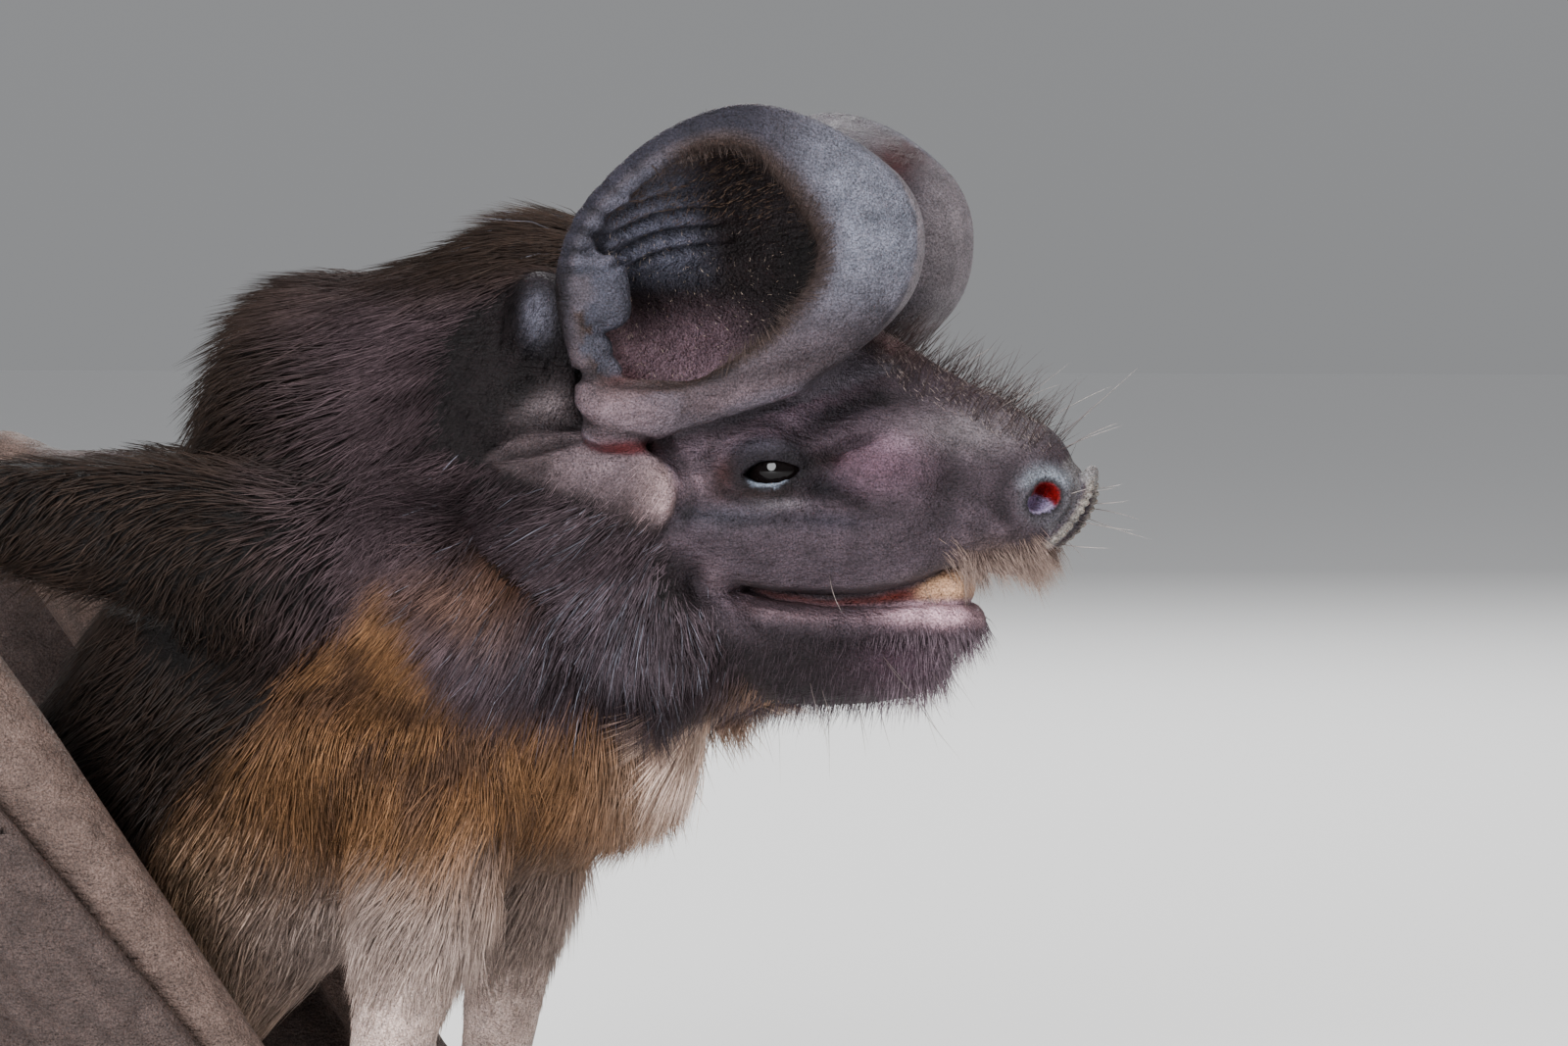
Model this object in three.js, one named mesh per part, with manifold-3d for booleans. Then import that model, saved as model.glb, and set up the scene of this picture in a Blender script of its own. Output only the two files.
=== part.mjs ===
// A free-tailed bat of the bonneted kind, standing on its wrists and hind feet with its head raised.
// Millimetres, +X forward, +Y to the animal's left, +Z up, origin on the floor under the middle of its box.
// Every solid runs out to the tips of the coat.
import * as THREE from "three";
import { mergeVertices } from "three/addons/utils/BufferGeometryUtils.js";
import Module from "manifold-3d";

const wasm = await Module();
wasm.setup();

// ---------------------------------------------------------------- driving dimensions
const LENGTH = 124; // nose tip to tail tip
const GAP = 0.3; // between neighbouring pieces
const MOUTH_HEIGHT = 40.8; // where the lips meet
const EYE_RADIUS = 2.2;
const EYE = { back: 17.5, side: 6.3, height: 47.8 };
const NOSTRIL = { back: 2.5, side: 2.7, height: 45.9 };
const BELLY_CLEARANCE = 0.8; // of the rump and tail root over the floor

const SKIN = { color: 0x3e3036, roughness: 0.7 };
const EAR_SKIN = { color: 0x5c5660, roughness: 0.65 };
const FUR = { color: 0x4a3428, roughness: 0.95 };
const CHEST_FUR = { color: 0x96603a, roughness: 0.95 };
const PALE_SKIN = { color: 0xa08478, roughness: 0.8 };
const WING_SKIN = { color: 0x2c2427, roughness: 0.6 };
const EYE_LOOK = { color: 0x050506, roughness: 0.05 };
const CLAW = { color: 0x2a2320, roughness: 0.35 };

// A place on the animal: how far behind the nose tip, how far to its left, how high above the floor.
const at = (back, side, height) => new THREE.Vector3(LENGTH / 2 - back, side, height);

// ---------------------------------------------------------------- distance fields
// A field is a list of rounded forms that melt into each other; each gives its distance to a point.
const smoothMin = (a, b, blend) => {
  const h = Math.max(blend - Math.abs(a - b), 0) / blend;
  return Math.min(a, b) - h * h * blend * 0.25;
};

// An ellipsoid, tipped so that its top leans back by `lean` degrees.
const egg = (center, [rx, ry, rz], blend = 3, lean = 0) => {
  const c = Math.cos(THREE.MathUtils.degToRad(lean));
  const s = Math.sin(THREE.MathUtils.degToRad(lean));
  return (p) => {
    const dx = p.x - center.x;
    const dz = p.z - center.z;
    const x = (dx * c + dz * s) / rx;
    const y = (p.y - center.y) / ry;
    const z = (dz * c - dx * s) / rz;
    const k0 = Math.hypot(x, y, z);
    const k1 = Math.hypot(x / rx, y / ry, z / rz);
    return { distance: k1 > 0 ? (k0 * (k0 - 1)) / k1 : -Math.min(rx, ry, rz), blend };
  };
};

// A round bar whose radius runs from r0 to r1.
const bar = (a, b, r0, r1, blend = 3) => {
  const axis = b.clone().sub(a);
  const along = new THREE.Vector3();
  return (p) => {
    const h = THREE.MathUtils.clamp(along.copy(p).sub(a).dot(axis) / axis.lengthSq(), 0, 1);
    return { distance: along.addScaledVector(axis, -h).length() - THREE.MathUtils.lerp(r0, r1, h), blend };
  };
};

// The same form on both sides of the animal.
const paired = (form) => {
  const q = new THREE.Vector3();
  return (p) => form(q.set(p.x, Math.abs(p.y), p.z));
};

const field = (forms) => (p) => {
  let sum = Infinity;
  for (const form of forms) {
    const { distance, blend } = form(p);
    sum = sum === Infinity ? distance : smoothMin(sum, distance, blend);
  }
  return sum;
};

// The part of a field on one side of a plane through `point`, on the side `normal` points away from.
const cut = (inner, point, normal) => {
  const q = new THREE.Vector3();
  return (p) => Math.max(inner(p), q.copy(p).sub(point).dot(normal));
};

// ---------------------------------------------------------------- meshes
const solidOf = (positions, triangles) => {
  let volume = 0;
  const v = (i) => new THREE.Vector3().fromArray(positions, 3 * i);
  for (let i = 0; i < triangles.length; i += 3) {
    volume += v(triangles[i]).dot(v(triangles[i + 1]).cross(v(triangles[i + 2])));
  }
  if (volume < 0) triangles.reverse();
  const loose = new THREE.BufferGeometry();
  loose.setAttribute("position", new THREE.Float32BufferAttribute(positions, 3));
  loose.setIndex(triangles);
  const merged = mergeVertices(loose, 1e-4);
  return new wasm.Manifold(
    new wasm.Mesh({
      numProp: 3,
      vertProperties: merged.attributes.position.array,
      triVerts: new Uint32Array(merged.index.array),
    }),
  );
};

// A closed skin over rings of equal count, with one point before the first ring and one after the last.
const closeRings = (rings, first, last) => {
  const count = rings[0].length;
  const positions = [first, ...rings.flat(), last].flatMap((p) => p.toArray());
  const end = rings.length * count + 1;
  const triangles = [];
  for (let j = 0; j < count; j++) {
    const k = (j + 1) % count;
    triangles.push(0, 1 + k, 1 + j);
    for (let i = 0; i + 1 < rings.length; i++) {
      const a = 1 + i * count;
      triangles.push(a + j, a + k, a + count + j, a + k, a + count + k, a + count + j);
    }
    const b = 1 + (rings.length - 1) * count;
    triangles.push(b + j, b + k, end);
  }
  return solidOf(positions, triangles);
};

// Distance from `start` along `direction` to where the field is left.
const reach = (inside, start, direction, farthest = 60) => {
  const p = new THREE.Vector3();
  const value = (r) => inside(p.copy(start).addScaledVector(direction, r));
  let far = 0;
  while (far < farthest && value(far) < 0) far += 0.4;
  let near = Math.max(far - 0.4, 0);
  for (let i = 0; i < 18; i++) {
    const middle = (near + far) / 2;
    if (value(middle) < 0) near = middle;
    else far = middle;
  }
  return near;
};

// The ways backward and upward of a cross plane whose top leans back by `lean` degrees.
const backward = ({ lean }) => {
  const angle = THREE.MathUtils.degToRad(lean);
  return new THREE.Vector3(-Math.cos(angle), 0, -Math.sin(angle));
};
const upright = ({ lean }) => {
  const angle = THREE.MathUtils.degToRad(lean);
  return new THREE.Vector3(-Math.sin(angle), 0, Math.cos(angle));
};

// Rings of rays cast from a middle line out to the field. A station is {center, lean}: its ring lies in the
// upright cross plane of the body, its top leant back by `lean` degrees. With `roundFront` the first ring is
// closed by a point on the field ahead of it; otherwise the ends are flat.
const bodyLoft = (inside, stations, sides, roundFront = false) => {
  const ringAt = (station) =>
    Array.from({ length: sides }, (_, j) => {
      const turn = (2 * Math.PI * (j + 0.5)) / sides;
      const direction = upright(station).multiplyScalar(Math.sin(turn));
      direction.y = Math.cos(turn);
      return station.center.clone().addScaledVector(direction, reach(inside, station.center, direction));
    });
  const first = stations[0];
  const ahead = backward(first).negate();
  const bulge = roundFront ? reach(inside, first.center, ahead) : 0;
  const front = first.center.clone().addScaledVector(ahead, bulge);
  return closeRings(stations.map(ringAt), front, stations.at(-1).center);
};

// Stations between two given ones, both ends included.
const stationsBetween = (a, b, count, ease = (t) => t) =>
  Array.from({ length: count }, (_, i) => {
    const t = ease(i / (count - 1));
    return {
      center: a.center.clone().lerp(b.center, t),
      lean: THREE.MathUtils.lerp(a.lean, b.lean, t),
    };
  });

// A limb: an oval tube along a smooth curve through `points`, each {at, wide, thick}, with rounded ends.
// `wide` is the half size along `broad`, `thick` the half size across it; `extra` grows it all round.
const limb = (points, { sides = 10, steps = 12, broad = new THREE.Vector3(0, 1, 0), extra = 0 } = {}) => {
  const curve = new THREE.CatmullRomCurve3(points.map((p) => p.at), false, "centripetal");
  const sizeAt = (t, key) => {
    const s = t * (points.length - 1);
    const i = Math.min(Math.floor(s), points.length - 2);
    return THREE.MathUtils.lerp(points[i][key], points[i + 1][key], s - i) + extra;
  };
  const rings = [];
  const place = (t, push, shrink) => {
    const tangent = curve.getTangent(t);
    const side = broad.clone().addScaledVector(tangent, -broad.dot(tangent)).normalize();
    const other = tangent.clone().cross(side);
    const center = curve.getPoint(t).addScaledVector(tangent, push);
    rings.push(
      Array.from({ length: sides }, (_, j) => {
        const turn = (2 * Math.PI * j) / sides;
        return center
          .clone()
          .addScaledVector(side, Math.cos(turn) * sizeAt(t, "wide") * shrink)
          .addScaledVector(other, Math.sin(turn) * sizeAt(t, "thick") * shrink);
      }),
    );
  };
  const capPush = (t) => Math.min(sizeAt(t, "wide"), sizeAt(t, "thick"));
  place(0, -capPush(0) * 0.7, 0.7);
  for (let i = 0; i <= steps; i++) place(i / steps, 0, 1);
  place(1, capPush(1) * 0.7, 0.7);
  const end = (t, sign) =>
    curve.getPoint(t).addScaledVector(curve.getTangent(t), sign * capPush(t));
  return closeRings(rings, end(0, -1), end(1, 1));
};

// ---------------------------------------------------------------- planes that part the body
// Each is a cross plane of the body: its middle, and how far its top leans back, in degrees.
const HEAD_END = { center: at(25.4, 0, 47.2), lean: 15 };
const NECK_END = { center: at(33, 0, 44.6), lean: 28 };
const CHEST_END = { center: at(46.5, 0, 33), lean: 42 };
const BELLY_END = { center: at(60, 0, 20.5), lean: 42 };
const RUMP_END = { center: at(76, 0, 7.6), lean: 30 };
const TAIL_ROOT_END = { center: at(99, 0, 1.9), lean: 0 };
const HEAD_FRONT = { center: at(3.6, 0, 46), lean: 0 };

const shifted = (plane, distance) => ({
  center: plane.center.clone().addScaledVector(backward(plane), distance),
  lean: plane.lean,
});
const UP = new THREE.Vector3(0, 0, 1);
const DOWN = new THREE.Vector3(0, 0, -1);
const aheadOf = (inner, plane) => cut(inner, shifted(plane, -GAP / 2).center, backward(plane));
const grown = (inner, extra) => (p) => inner(p) - extra;

// ---------------------------------------------------------------- head and trunk
const napeForm = egg(at(31, 0, 53), [8.5, 8.8, 10.7], 3, 8);
const cheekForm = paired(bar(at(24, 5.2, 46), at(29, 6, 44), 4.8, 5.4));
const headForms = [
  egg(at(21.5, 0, 48.2), [11.5, 8.2, 9.4], 3, 10),
  bar(at(17, 0, 51.6), at(5.2, 0, 47.5), 6.4, 3.3),
  bar(at(19, 0, 47.6), at(5.4, 0, 46), 7.2, 3.6),
  paired(bar(at(19, 4.6, 44.8), at(12, 3.5, 44.5), 4.6, 3.8, 2.5)),
  paired(bar(at(12, 3.5, 44.5), at(5.8, 1.9, 45.3), 3.8, 3, 2.5)),
  bar(at(13, 0, 53), at(7.4, 0, 50.9), 3, 2.3, 2),
  cheekForm,
  napeForm,
];
const jawForms = [
  paired(bar(at(24, 5.6, 37.4), at(9.8, 1.4, 38), 4.5, 2.5)),
  egg(at(9.1, 0, 38.7), [2.6, 3.2, 1.9], 2),
  egg(at(10.8, 0, 37), [2.9, 3, 2.2], 2),
  egg(at(17.5, 0, 36.6), [9.5, 5.6, 3.5], 3, -4),
];
const trunkForms = [
  egg(at(33.5, 0, 48.2), [9.5, 11.2, 14.8], 3, 20),
  egg(at(33.5, 0, 34.2), [11, 11, 11], 5),
  egg(at(41, 0, 44.4), [13.5, 13.6, 17.4], 5, 33),
  egg(at(47, 0, 34), [17, 14.6, 15], 6, 42),
  egg(at(58, 0, 22.5), [17, 13.4, 13], 6, 42),
  egg(at(68.5, 0, 13.2), [11.5, 10.6, 9.4], 6, 38),
  bar(at(72, 0, 9.5), at(80, 0, 4.6), 5, 2.4, 5),
];
const wholeTrunk = field([...trunkForms, cheekForm, napeForm]);
const overFloor = cut(wholeTrunk, at(0, 0, BELLY_CLEARANCE), DOWN);
const headField = aheadOf(cut(field(headForms), at(0, 0, MOUTH_HEIGHT + GAP / 2), DOWN), HEAD_END);
const jawField = aheadOf(cut(field(jawForms), at(0, 0, MOUTH_HEIGHT - GAP / 2), UP), HEAD_END);

const trunkPiece = (from, to, rings, sides) => {
  const stations = stationsBetween(shifted(from, GAP / 2), shifted(to, -GAP / 2), rings);
  return (extra) => bodyLoft(grown(overFloor, extra), stations, sides);
};
const head = (extra) =>
  bodyLoft(grown(headField, extra), stationsBetween(HEAD_FRONT, shifted(HEAD_END, -GAP / 2), 12), 20, true);
// The jaw runs back to the plane that ends the head, lower down on it.
const JAW_DROP = 9.9;
const jawFront = { center: at(8.6, 0, 37.8), lean: 0 };
const jawBack = shifted(HEAD_END, -GAP / 2);
jawBack.center.addScaledVector(upright(jawBack), -JAW_DROP);
const jaw = (extra) => bodyLoft(grown(jawField, extra), stationsBetween(jawFront, jawBack, 7), 16, true);
const neck = trunkPiece(HEAD_END, NECK_END, 4, 22);
const chest = trunkPiece(NECK_END, CHEST_END, 5, 22);
const belly = trunkPiece(CHEST_END, BELLY_END, 4, 20);
const rump = trunkPiece(BELLY_END, RUMP_END, 5, 18);

// ---------------------------------------------------------------- ear
// The rim, seen from the side, as its outermost points: distance behind the nose, side, height; and the
// radius of the roll that edges it there.
const EAR_RIM = [
  [18.6, 10.6, 68.3, 1.9],
  [14.5, 9.8, 67.3, 2.4],
  [11.2, 8.5, 64.7, 2.6],
  [10, 8, 61.4, 2.7],
  [11, 8.4, 57.3, 2.5],
  [15.6, 9.4, 53.2, 2.1],
  [21.9, 10.6, 50.6, 1.9],
  [26.4, 11.6, 49.9, 1.8],
  [27.5, 12, 53.8, 1.1],
  [28.3, 12.2, 58.5, 1],
  [26.7, 12.2, 62.8, 1],
  [22.9, 11.6, 66.5, 1.1],
];
const EAR_MIDDLE = at(18.6, 10.4, 59.2);
const EAR_BOTTOM = at(16.2, 1.5, 58.8);
const EAR_WALL = 0.9;
const rimCurve = new THREE.CatmullRomCurve3(EAR_RIM.map(([b, s, h]) => at(b, s, h)), true, "centripetal");
const rollAt = (t) => {
  const s = t * EAR_RIM.length;
  const i = Math.floor(s) % EAR_RIM.length;
  return THREE.MathUtils.lerp(EAR_RIM[i][3], EAR_RIM[(i + 1) % EAR_RIM.length][3], s - Math.floor(s));
};
const earBowl = (extra) => {
  const around = 17;
  const inward = EAR_BOTTOM.clone().sub(EAR_MIDDLE);
  const depth = inward.length();
  inward.normalize();
  const columns = Array.from({ length: around }, (_, k) => {
    const t = k / around;
    const roll = rollAt(t) + extra;
    const rim = rimCurve.getPoint(t);
    const radial = rim.clone().sub(EAR_MIDDLE);
    const reachOut = radial.length() + extra;
    radial.normalize();
    const place = (r, down) => EAR_MIDDLE.clone().addScaledVector(radial, r).addScaledVector(inward, down);
    const column = [];
    const foot = reachOut - 2 * roll;
    for (const s of [0.55, 0.92]) {
      column.push(place(foot * s, (depth - extra) * Math.sqrt(1 - s * s)));
    }
    for (const turn of [180, 120, 60, 0]) {
      const angle = THREE.MathUtils.degToRad(turn);
      column.push(place(reachOut - roll + roll * Math.cos(angle), -roll * Math.sin(angle) * 0.9));
    }
    for (const s of [0.9, 0.6]) {
      column.push(place(reachOut * s, (depth + EAR_WALL + extra) * Math.sqrt(1 - s * s)));
    }
    return column;
  });
  const rings = columns[0].map((_, i) => columns.map((column) => column[i]));
  const floorPoint = EAR_MIDDLE.clone().addScaledVector(inward, depth - extra);
  const backPoint = EAR_MIDDLE.clone().addScaledVector(inward, depth + EAR_WALL + extra);
  return closeRings(rings, floorPoint, backPoint);
};
const ball = (center, [rx, ry, rz], detail = 6, lean = 0) => {
  const sphere = new THREE.SphereGeometry(1, detail, Math.round(detail * 0.7));
  sphere.scale(rx, ry, rz).rotateY(-THREE.MathUtils.degToRad(lean)).translate(center.x, center.y, center.z);
  sphere.deleteAttribute("normal").deleteAttribute("uv");
  const merged = mergeVertices(sphere, 1e-4);
  return solidOf([...merged.attributes.position.array], [...merged.index.array]);
};
const ear = (extra) =>
  earBowl(extra)
    .add(ball(at(26.4, 11.9, 57.8), [1.8 + extra, 1.5 + extra, 2.1 + extra]))
    .add(ball(at(27, 11.9, 55), [1.3 + extra, 1.2 + extra, 1.3 + extra]))
    .add(ball(at(26.2, 11.7, 51.3), [2 + extra, 1.9 + extra, 1.7 + extra]));
const antitragus = (extra) => ball(at(27.8, 10.4, 46.2), [5.2 + extra, 2 + extra, 4.8 + extra], 8);

// ---------------------------------------------------------------- nose and eyes
const nosePad = (extra) => ball(at(2.45, 0, 45.5), [1.9 + extra, 3.5 + extra, 2.8 + extra], 8, -30);
const nostril = (side) =>
  ball(at(NOSTRIL.back, side * NOSTRIL.side, NOSTRIL.height), [1, 1.1, 1.2], 6);
const eye = (extra) =>
  ball(at(EYE.back, EYE.side, EYE.height), Array(3).fill(EYE_RADIUS + extra), 10);

// ---------------------------------------------------------------- limbs
const SHOULDER = at(38, 9, 40);
const ELBOW = at(73, 18.5, 46.8);
const WRIST = at(40.5, 14.5, 3.5);
const HIP = at(69, 8, 13.5);
const KNEE = at(78, 15.5, 18.5);
const ANKLE = at(85.5, 16, 3.6);

const between = (a, b, t, lift = 0) => a.clone().lerp(b, t).add(new THREE.Vector3(0, 0, lift));
const joint = (place, wide, thick = wide) => ({ at: place, wide, thick });

const upperArm = (extra) =>
  limb(
    [
      joint(SHOULDER, 6, 8),
      joint(between(SHOULDER, ELBOW, 0.3, 1), 5.6, 6.6),
      joint(between(SHOULDER, ELBOW, 0.6, 1), 4, 4.6),
      joint(between(SHOULDER, ELBOW, 0.93), 2.8, 3.1),
    ],
    { extra, sides: 8, steps: 4 },
  );
const forearm = (extra) =>
  limb(
    [
      joint(between(WRIST, ELBOW, 0.08), 2.5, 2.4),
      joint(between(WRIST, ELBOW, 0.35, 1), 2.6, 2.7),
      joint(between(WRIST, ELBOW, 0.7, 1.2), 3.3, 3.6),
      joint(ELBOW, 3, 3.2),
    ],
    { extra, sides: 8, steps: 5 },
  );
const wrist = (extra) =>
  limb(
    [joint(at(37.4, 13.7, 2.9), 2.6, 2.9), joint(WRIST, 3.4, 4), joint(at(43.5, 15.6, 8), 2.8, 3)],
    { extra, sides: 8, steps: 3 },
  );
const thumb = (extra) =>
  limb(
    [joint(at(36.5, 13.4, 1.8), 1.7), joint(at(33, 12.2, 1.5), 1.4), joint(at(30, 11.4, 1.4), 1.1)],
    { extra, sides: 6, steps: 2 },
  );
const fingers = (extra) =>
  limb(
    [
      joint(at(44.6, 17.6, 6.4), 1.7, 2.4),
      joint(at(53, 20, 15.5), 2.2, 3.8),
      joint(at(65, 21.8, 29.5), 2.2, 4.2),
      joint(at(77, 22.2, 43.5), 1.7, 3),
      joint(at(81, 22, 48), 1.1, 1.6),
    ],
    { extra, sides: 8, steps: 6 },
  );
const armFold = (extra) =>
  limb(
    [
      joint(at(37, 6, 33), 4.4, 5.6),
      joint(at(37.4, 9.4, 25), 4, 5.2),
      joint(at(38.6, 11.6, 17), 3, 3.6),
      joint(at(40, 13, 9.5), 2.3, 2.8),
    ],
    { extra, sides: 8, steps: 5 },
  );
const thigh = (extra) =>
  limb(
    [joint(HIP, 4.4, 4.8), joint(between(HIP, KNEE, 0.6), 3.6, 4), joint(KNEE, 2.6, 2.8)],
    { extra, sides: 8, steps: 2 },
  );
const shank = (extra) =>
  limb(
    [joint(between(KNEE, ANKLE, 0.1), 2.1), joint(between(KNEE, ANKLE, 0.5), 1.9), joint(ANKLE, 1.5)],
    { extra, sides: 7, steps: 2 },
  );

const TOES = [-2, -1, 0, 1, 2];
const toeRoot = (i) => at(90.2 + 0.3 * (2 - Math.abs(i)), 17.3 + i * 1.05, 1.9);
const toeTip = (i) => at(95.4 + 0.5 * (2 - Math.abs(i)), 18.6 + i * 1.9, 1.05);
const sole = (extra) =>
  limb(
    [joint(at(85, 16, 1.6), 1.7), joint(at(88, 16.7, 1.5), 2.3, 1.6), joint(at(91.2, 17.5, 1.3), 2.9, 1.4)],
    { extra, sides: 7, steps: 2 },
  );
const toe = (i, extra) =>
  limb(
    [joint(toeRoot(i), 0.85), joint(between(toeRoot(i), toeTip(i), 0.55, 0.35), 0.8), joint(toeTip(i), 0.62)],
    { extra, sides: 4, steps: 1 },
  );
const foot = (extra) => TOES.reduce((whole, i) => whole.add(toe(i, extra)), sole(extra));
// A claw arches up between its root and its tip, and thins toward the tip.
const claw = (root, tip, radius, arch) => {
  const middle = between(root, tip, 0.5, arch);
  const points = [joint(root, radius), joint(middle, radius * 0.8), joint(tip, radius * 0.3)];
  return (extra) => limb(points, { extra, sides: 4, steps: 1 });
};
const TOE_CLAW = { length: 1.9, radius: 0.42, arch: 0.35, rootHeight: 1.15, tipHeight: 0.35, clear: 0.75 };
const toeClaw = (i) => {
  const way = toeTip(i).sub(toeRoot(i)).setZ(0).normalize();
  const root = toeTip(i).addScaledVector(way, TOE_CLAW.clear).setZ(TOE_CLAW.rootHeight);
  const tip = root.clone().addScaledVector(way, TOE_CLAW.length).setZ(TOE_CLAW.tipHeight);
  return claw(root, tip, TOE_CLAW.radius, TOE_CLAW.arch);
};
const thumbClaw = claw(at(28.8, 11.1, 1.5), at(26.6, 10.6, 0.45), 0.5, 0.45);

// ---------------------------------------------------------------- tail and membranes
const tailCurve = [
  joint(at(74, 0, 8.6), 3, 3),
  joint(at(80, 0, 4.8), 2.5, 2.5),
  joint(at(88, 0, 2.3), 2.1, 2.1),
  joint(at(99, 0, 1.75), 1.95, 1.95),
  joint(at(112, 0, 1.55), 1.75, 1.75),
  joint(at(LENGTH - 1.1, 0, 1.2), 1.1, 1.1),
];
const tail = (extra) => limb(tailCurve, { extra, sides: 8, steps: 8 });

// A thin closed sheet between two edges, each a function of 0..1; `ripple` tells how far it is moved.
const sheet = (edgeA, edgeB, along, across, thickness, ripple) => {
  const place = (s, t) => {
    const p = edgeA(s).lerp(edgeB(s), t);
    return p.add(ripple(s, t));
  };
  const normal = (s, t) => {
    const e = 0.01;
    const ds = place(Math.min(s + e, 1), t).sub(place(Math.max(s - e, 0), t));
    const dt = place(s, Math.min(t + e, 1)).sub(place(s, Math.max(t - e, 0)));
    return ds.cross(dt).normalize();
  };
  const rings = Array.from({ length: along + 1 }, (_, i) => {
    const s = i / along;
    const front = [];
    const back = [];
    for (let j = 0; j <= across; j++) {
      const t = j / across;
      const n = normal(s, t).multiplyScalar(thickness / 2);
      front.push(place(s, t).add(n));
      back.push(place(s, t).sub(n));
    }
    return [...front, ...back.reverse()];
  });
  return closeRings(rings, place(0, 0.5), place(1, 0.5));
};
const alongCurve = (points) => {
  const curve = new THREE.CatmullRomCurve3(points, false, "centripetal");
  return (s) => curve.getPoint(s);
};
const MEMBRANE = 0.9; // thickness
const tailMembrane = () =>
  sheet(
    alongCurve([at(77, 3.2, 6.8), at(84, 2.6, 3.6), at(92, 2.4, 2.6), at(99.5, 2.3, 2)]),
    alongCurve([at(79, 11, 8.6), at(83, 13, 6.4), at(86, 14.2, 4.6), at(88.5, 14.4, 3.4)]),
    6,
    5,
    MEMBRANE,
    (s, t) => new THREE.Vector3(0, 0, 0.45 * Math.sin(t * Math.PI * 4) * Math.sin(Math.PI * s)),
  );
const wingMembrane = () =>
  sheet(
    alongCurve([at(45, 16, 9), at(53, 17.8, 20), at(64, 19.4, 33), at(75, 20, 43.5)]),
    alongCurve([at(46, 14.6, 8), at(57, 15.4, 9.5), at(71, 16.4, 9.5), at(84.5, 17.8, 5.2)]),
    6,
    5,
    MEMBRANE,
    (s, t) =>
      new THREE.Vector3(
        2.5 * s * Math.sin(t * Math.PI),
        0.9 * Math.sin(t * Math.PI * 5 + s * 2) * Math.sin(Math.PI * t) * Math.sqrt(s),
        0,
      ),
  );

// ---------------------------------------------------------------- assembly
const group = new THREE.Group();
const bigBox = (x, y, z) => {
  const box = new THREE.BoxGeometry(x, y, z);
  box.deleteAttribute("normal").deleteAttribute("uv");
  return box;
};
const boxSolid = (geometry) => {
  const merged = mergeVertices(geometry, 1e-4);
  return solidOf([...merged.attributes.position.array], [...merged.index.array]);
};
const aboveFloor = boxSolid(bigBox(400, 200, 200).translate(0, 0, 100));
const halfSpace = (plane, sign) => {
  const box = bigBox(200, 200, 200).translate(-sign * 100, 0, 0);
  box.rotateY(-THREE.MathUtils.degToRad(plane.lean));
  box.translate(plane.center.x, plane.center.y, plane.center.z);
  return boxSolid(box);
};
const meshOf = (name, solid, look) => {
  const { vertProperties, triVerts } = solid.getMesh();
  const geometry = new THREE.BufferGeometry();
  geometry.setAttribute("position", new THREE.BufferAttribute(vertProperties, 3));
  geometry.setIndex(new THREE.BufferAttribute(triVerts, 1));
  geometry.computeVertexNormals();
  const mesh = new THREE.Mesh(geometry, new THREE.MeshStandardMaterial({ metalness: 0, ...look }));
  mesh.name = name;
  return mesh;
};
// What is left of a solid once its neighbours, each grown by the gap, are taken out of it: the largest piece.
const less = (solid, makers) =>
  makers
    .reduce((rest, maker) => rest.subtract(maker(GAP)), solid)
    .decompose()
    .sort((a, b) => b.volume() - a.volume())[0];

const single = [
  ["head", less(head(0), [nosePad, eye, (extra) => eye(extra).mirror([0, 1, 0])]), SKIN],
  ["nose_pad", less(nosePad(0), [() => nostril(1), () => nostril(-1)]), SKIN],
  ["lower_jaw", jaw(0), SKIN],
  ["neck", neck(0), FUR],
  ["chest", chest(0), FUR],
  ["belly", belly(0), CHEST_FUR],
  ["rump", rump(0), FUR],
];
const wholeTail = less(tail(0), [rump]).intersect(aboveFloor);
single.push(["tail_root", wholeTail.intersect(halfSpace(shifted(TAIL_ROOT_END, -GAP / 2), -1)), WING_SKIN]);
single.push(["tail_tip", wholeTail.intersect(halfSpace(shifted(TAIL_ROOT_END, GAP / 2), 1)), WING_SKIN]);
for (const [name, solid, look] of single) group.add(meshOf(name, solid, look));

const body = [head, jaw, neck, chest, belly, rump];
const arm = [upperArm, forearm, wrist];
const sideNodes = [
  ["eye", eye(0), EYE_LOOK],
  ["ear", less(ear(0), [head, neck]), EAR_SKIN],
  ["antitragus", less(antitragus(0), [head, neck, jaw, ear]), SKIN],
  ["upper_arm", less(upperArm(0), body), FUR],
  ["forearm", less(forearm(0), [...body, upperArm]), WING_SKIN],
  ["wrist", less(wrist(0), [...body, forearm]), WING_SKIN],
  ["thumb", less(thumb(0), [wrist]), WING_SKIN],
  ["thumb_claw", less(thumbClaw(0), [thumb]), CLAW],
  ["arm_fold", less(armFold(0), [...body, wrist, forearm]), PALE_SKIN],
  ["folded_fingers", less(fingers(0), [...body, ...arm]), WING_SKIN],
  ["thigh", less(thigh(0), body), FUR],
  ["shank", less(shank(0), [...body, thigh]), WING_SKIN],
  ["foot", less(foot(0), [shank]), WING_SKIN],
  ["tail_membrane", less(tailMembrane(), [...body, tail, thigh, shank, foot]), WING_SKIN],
  ["wing_membrane", less(wingMembrane(), [...body, ...arm, fingers, thigh, shank, foot]), WING_SKIN],
  ...TOES.map((i) => [`toe_claw_${i + 3}`, less(toeClaw(i)(0), [foot]), CLAW]),
];
for (const [side, sign] of [["left", 1], ["right", -1]]) {
  const half = new THREE.Group();
  half.scale.y = sign;
  for (const [name, solid, look] of sideNodes) {
    half.add(meshOf(`${name}_${side}`, solid.intersect(aboveFloor), look));
  }
  group.add(half);
}

// The origin goes under the middle of the box.
const box = new THREE.Box3().setFromObject(group);
const middle = (box.min.x + box.max.x) / 2;
for (const child of group.children) child.position.x -= middle;

export default group;
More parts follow.
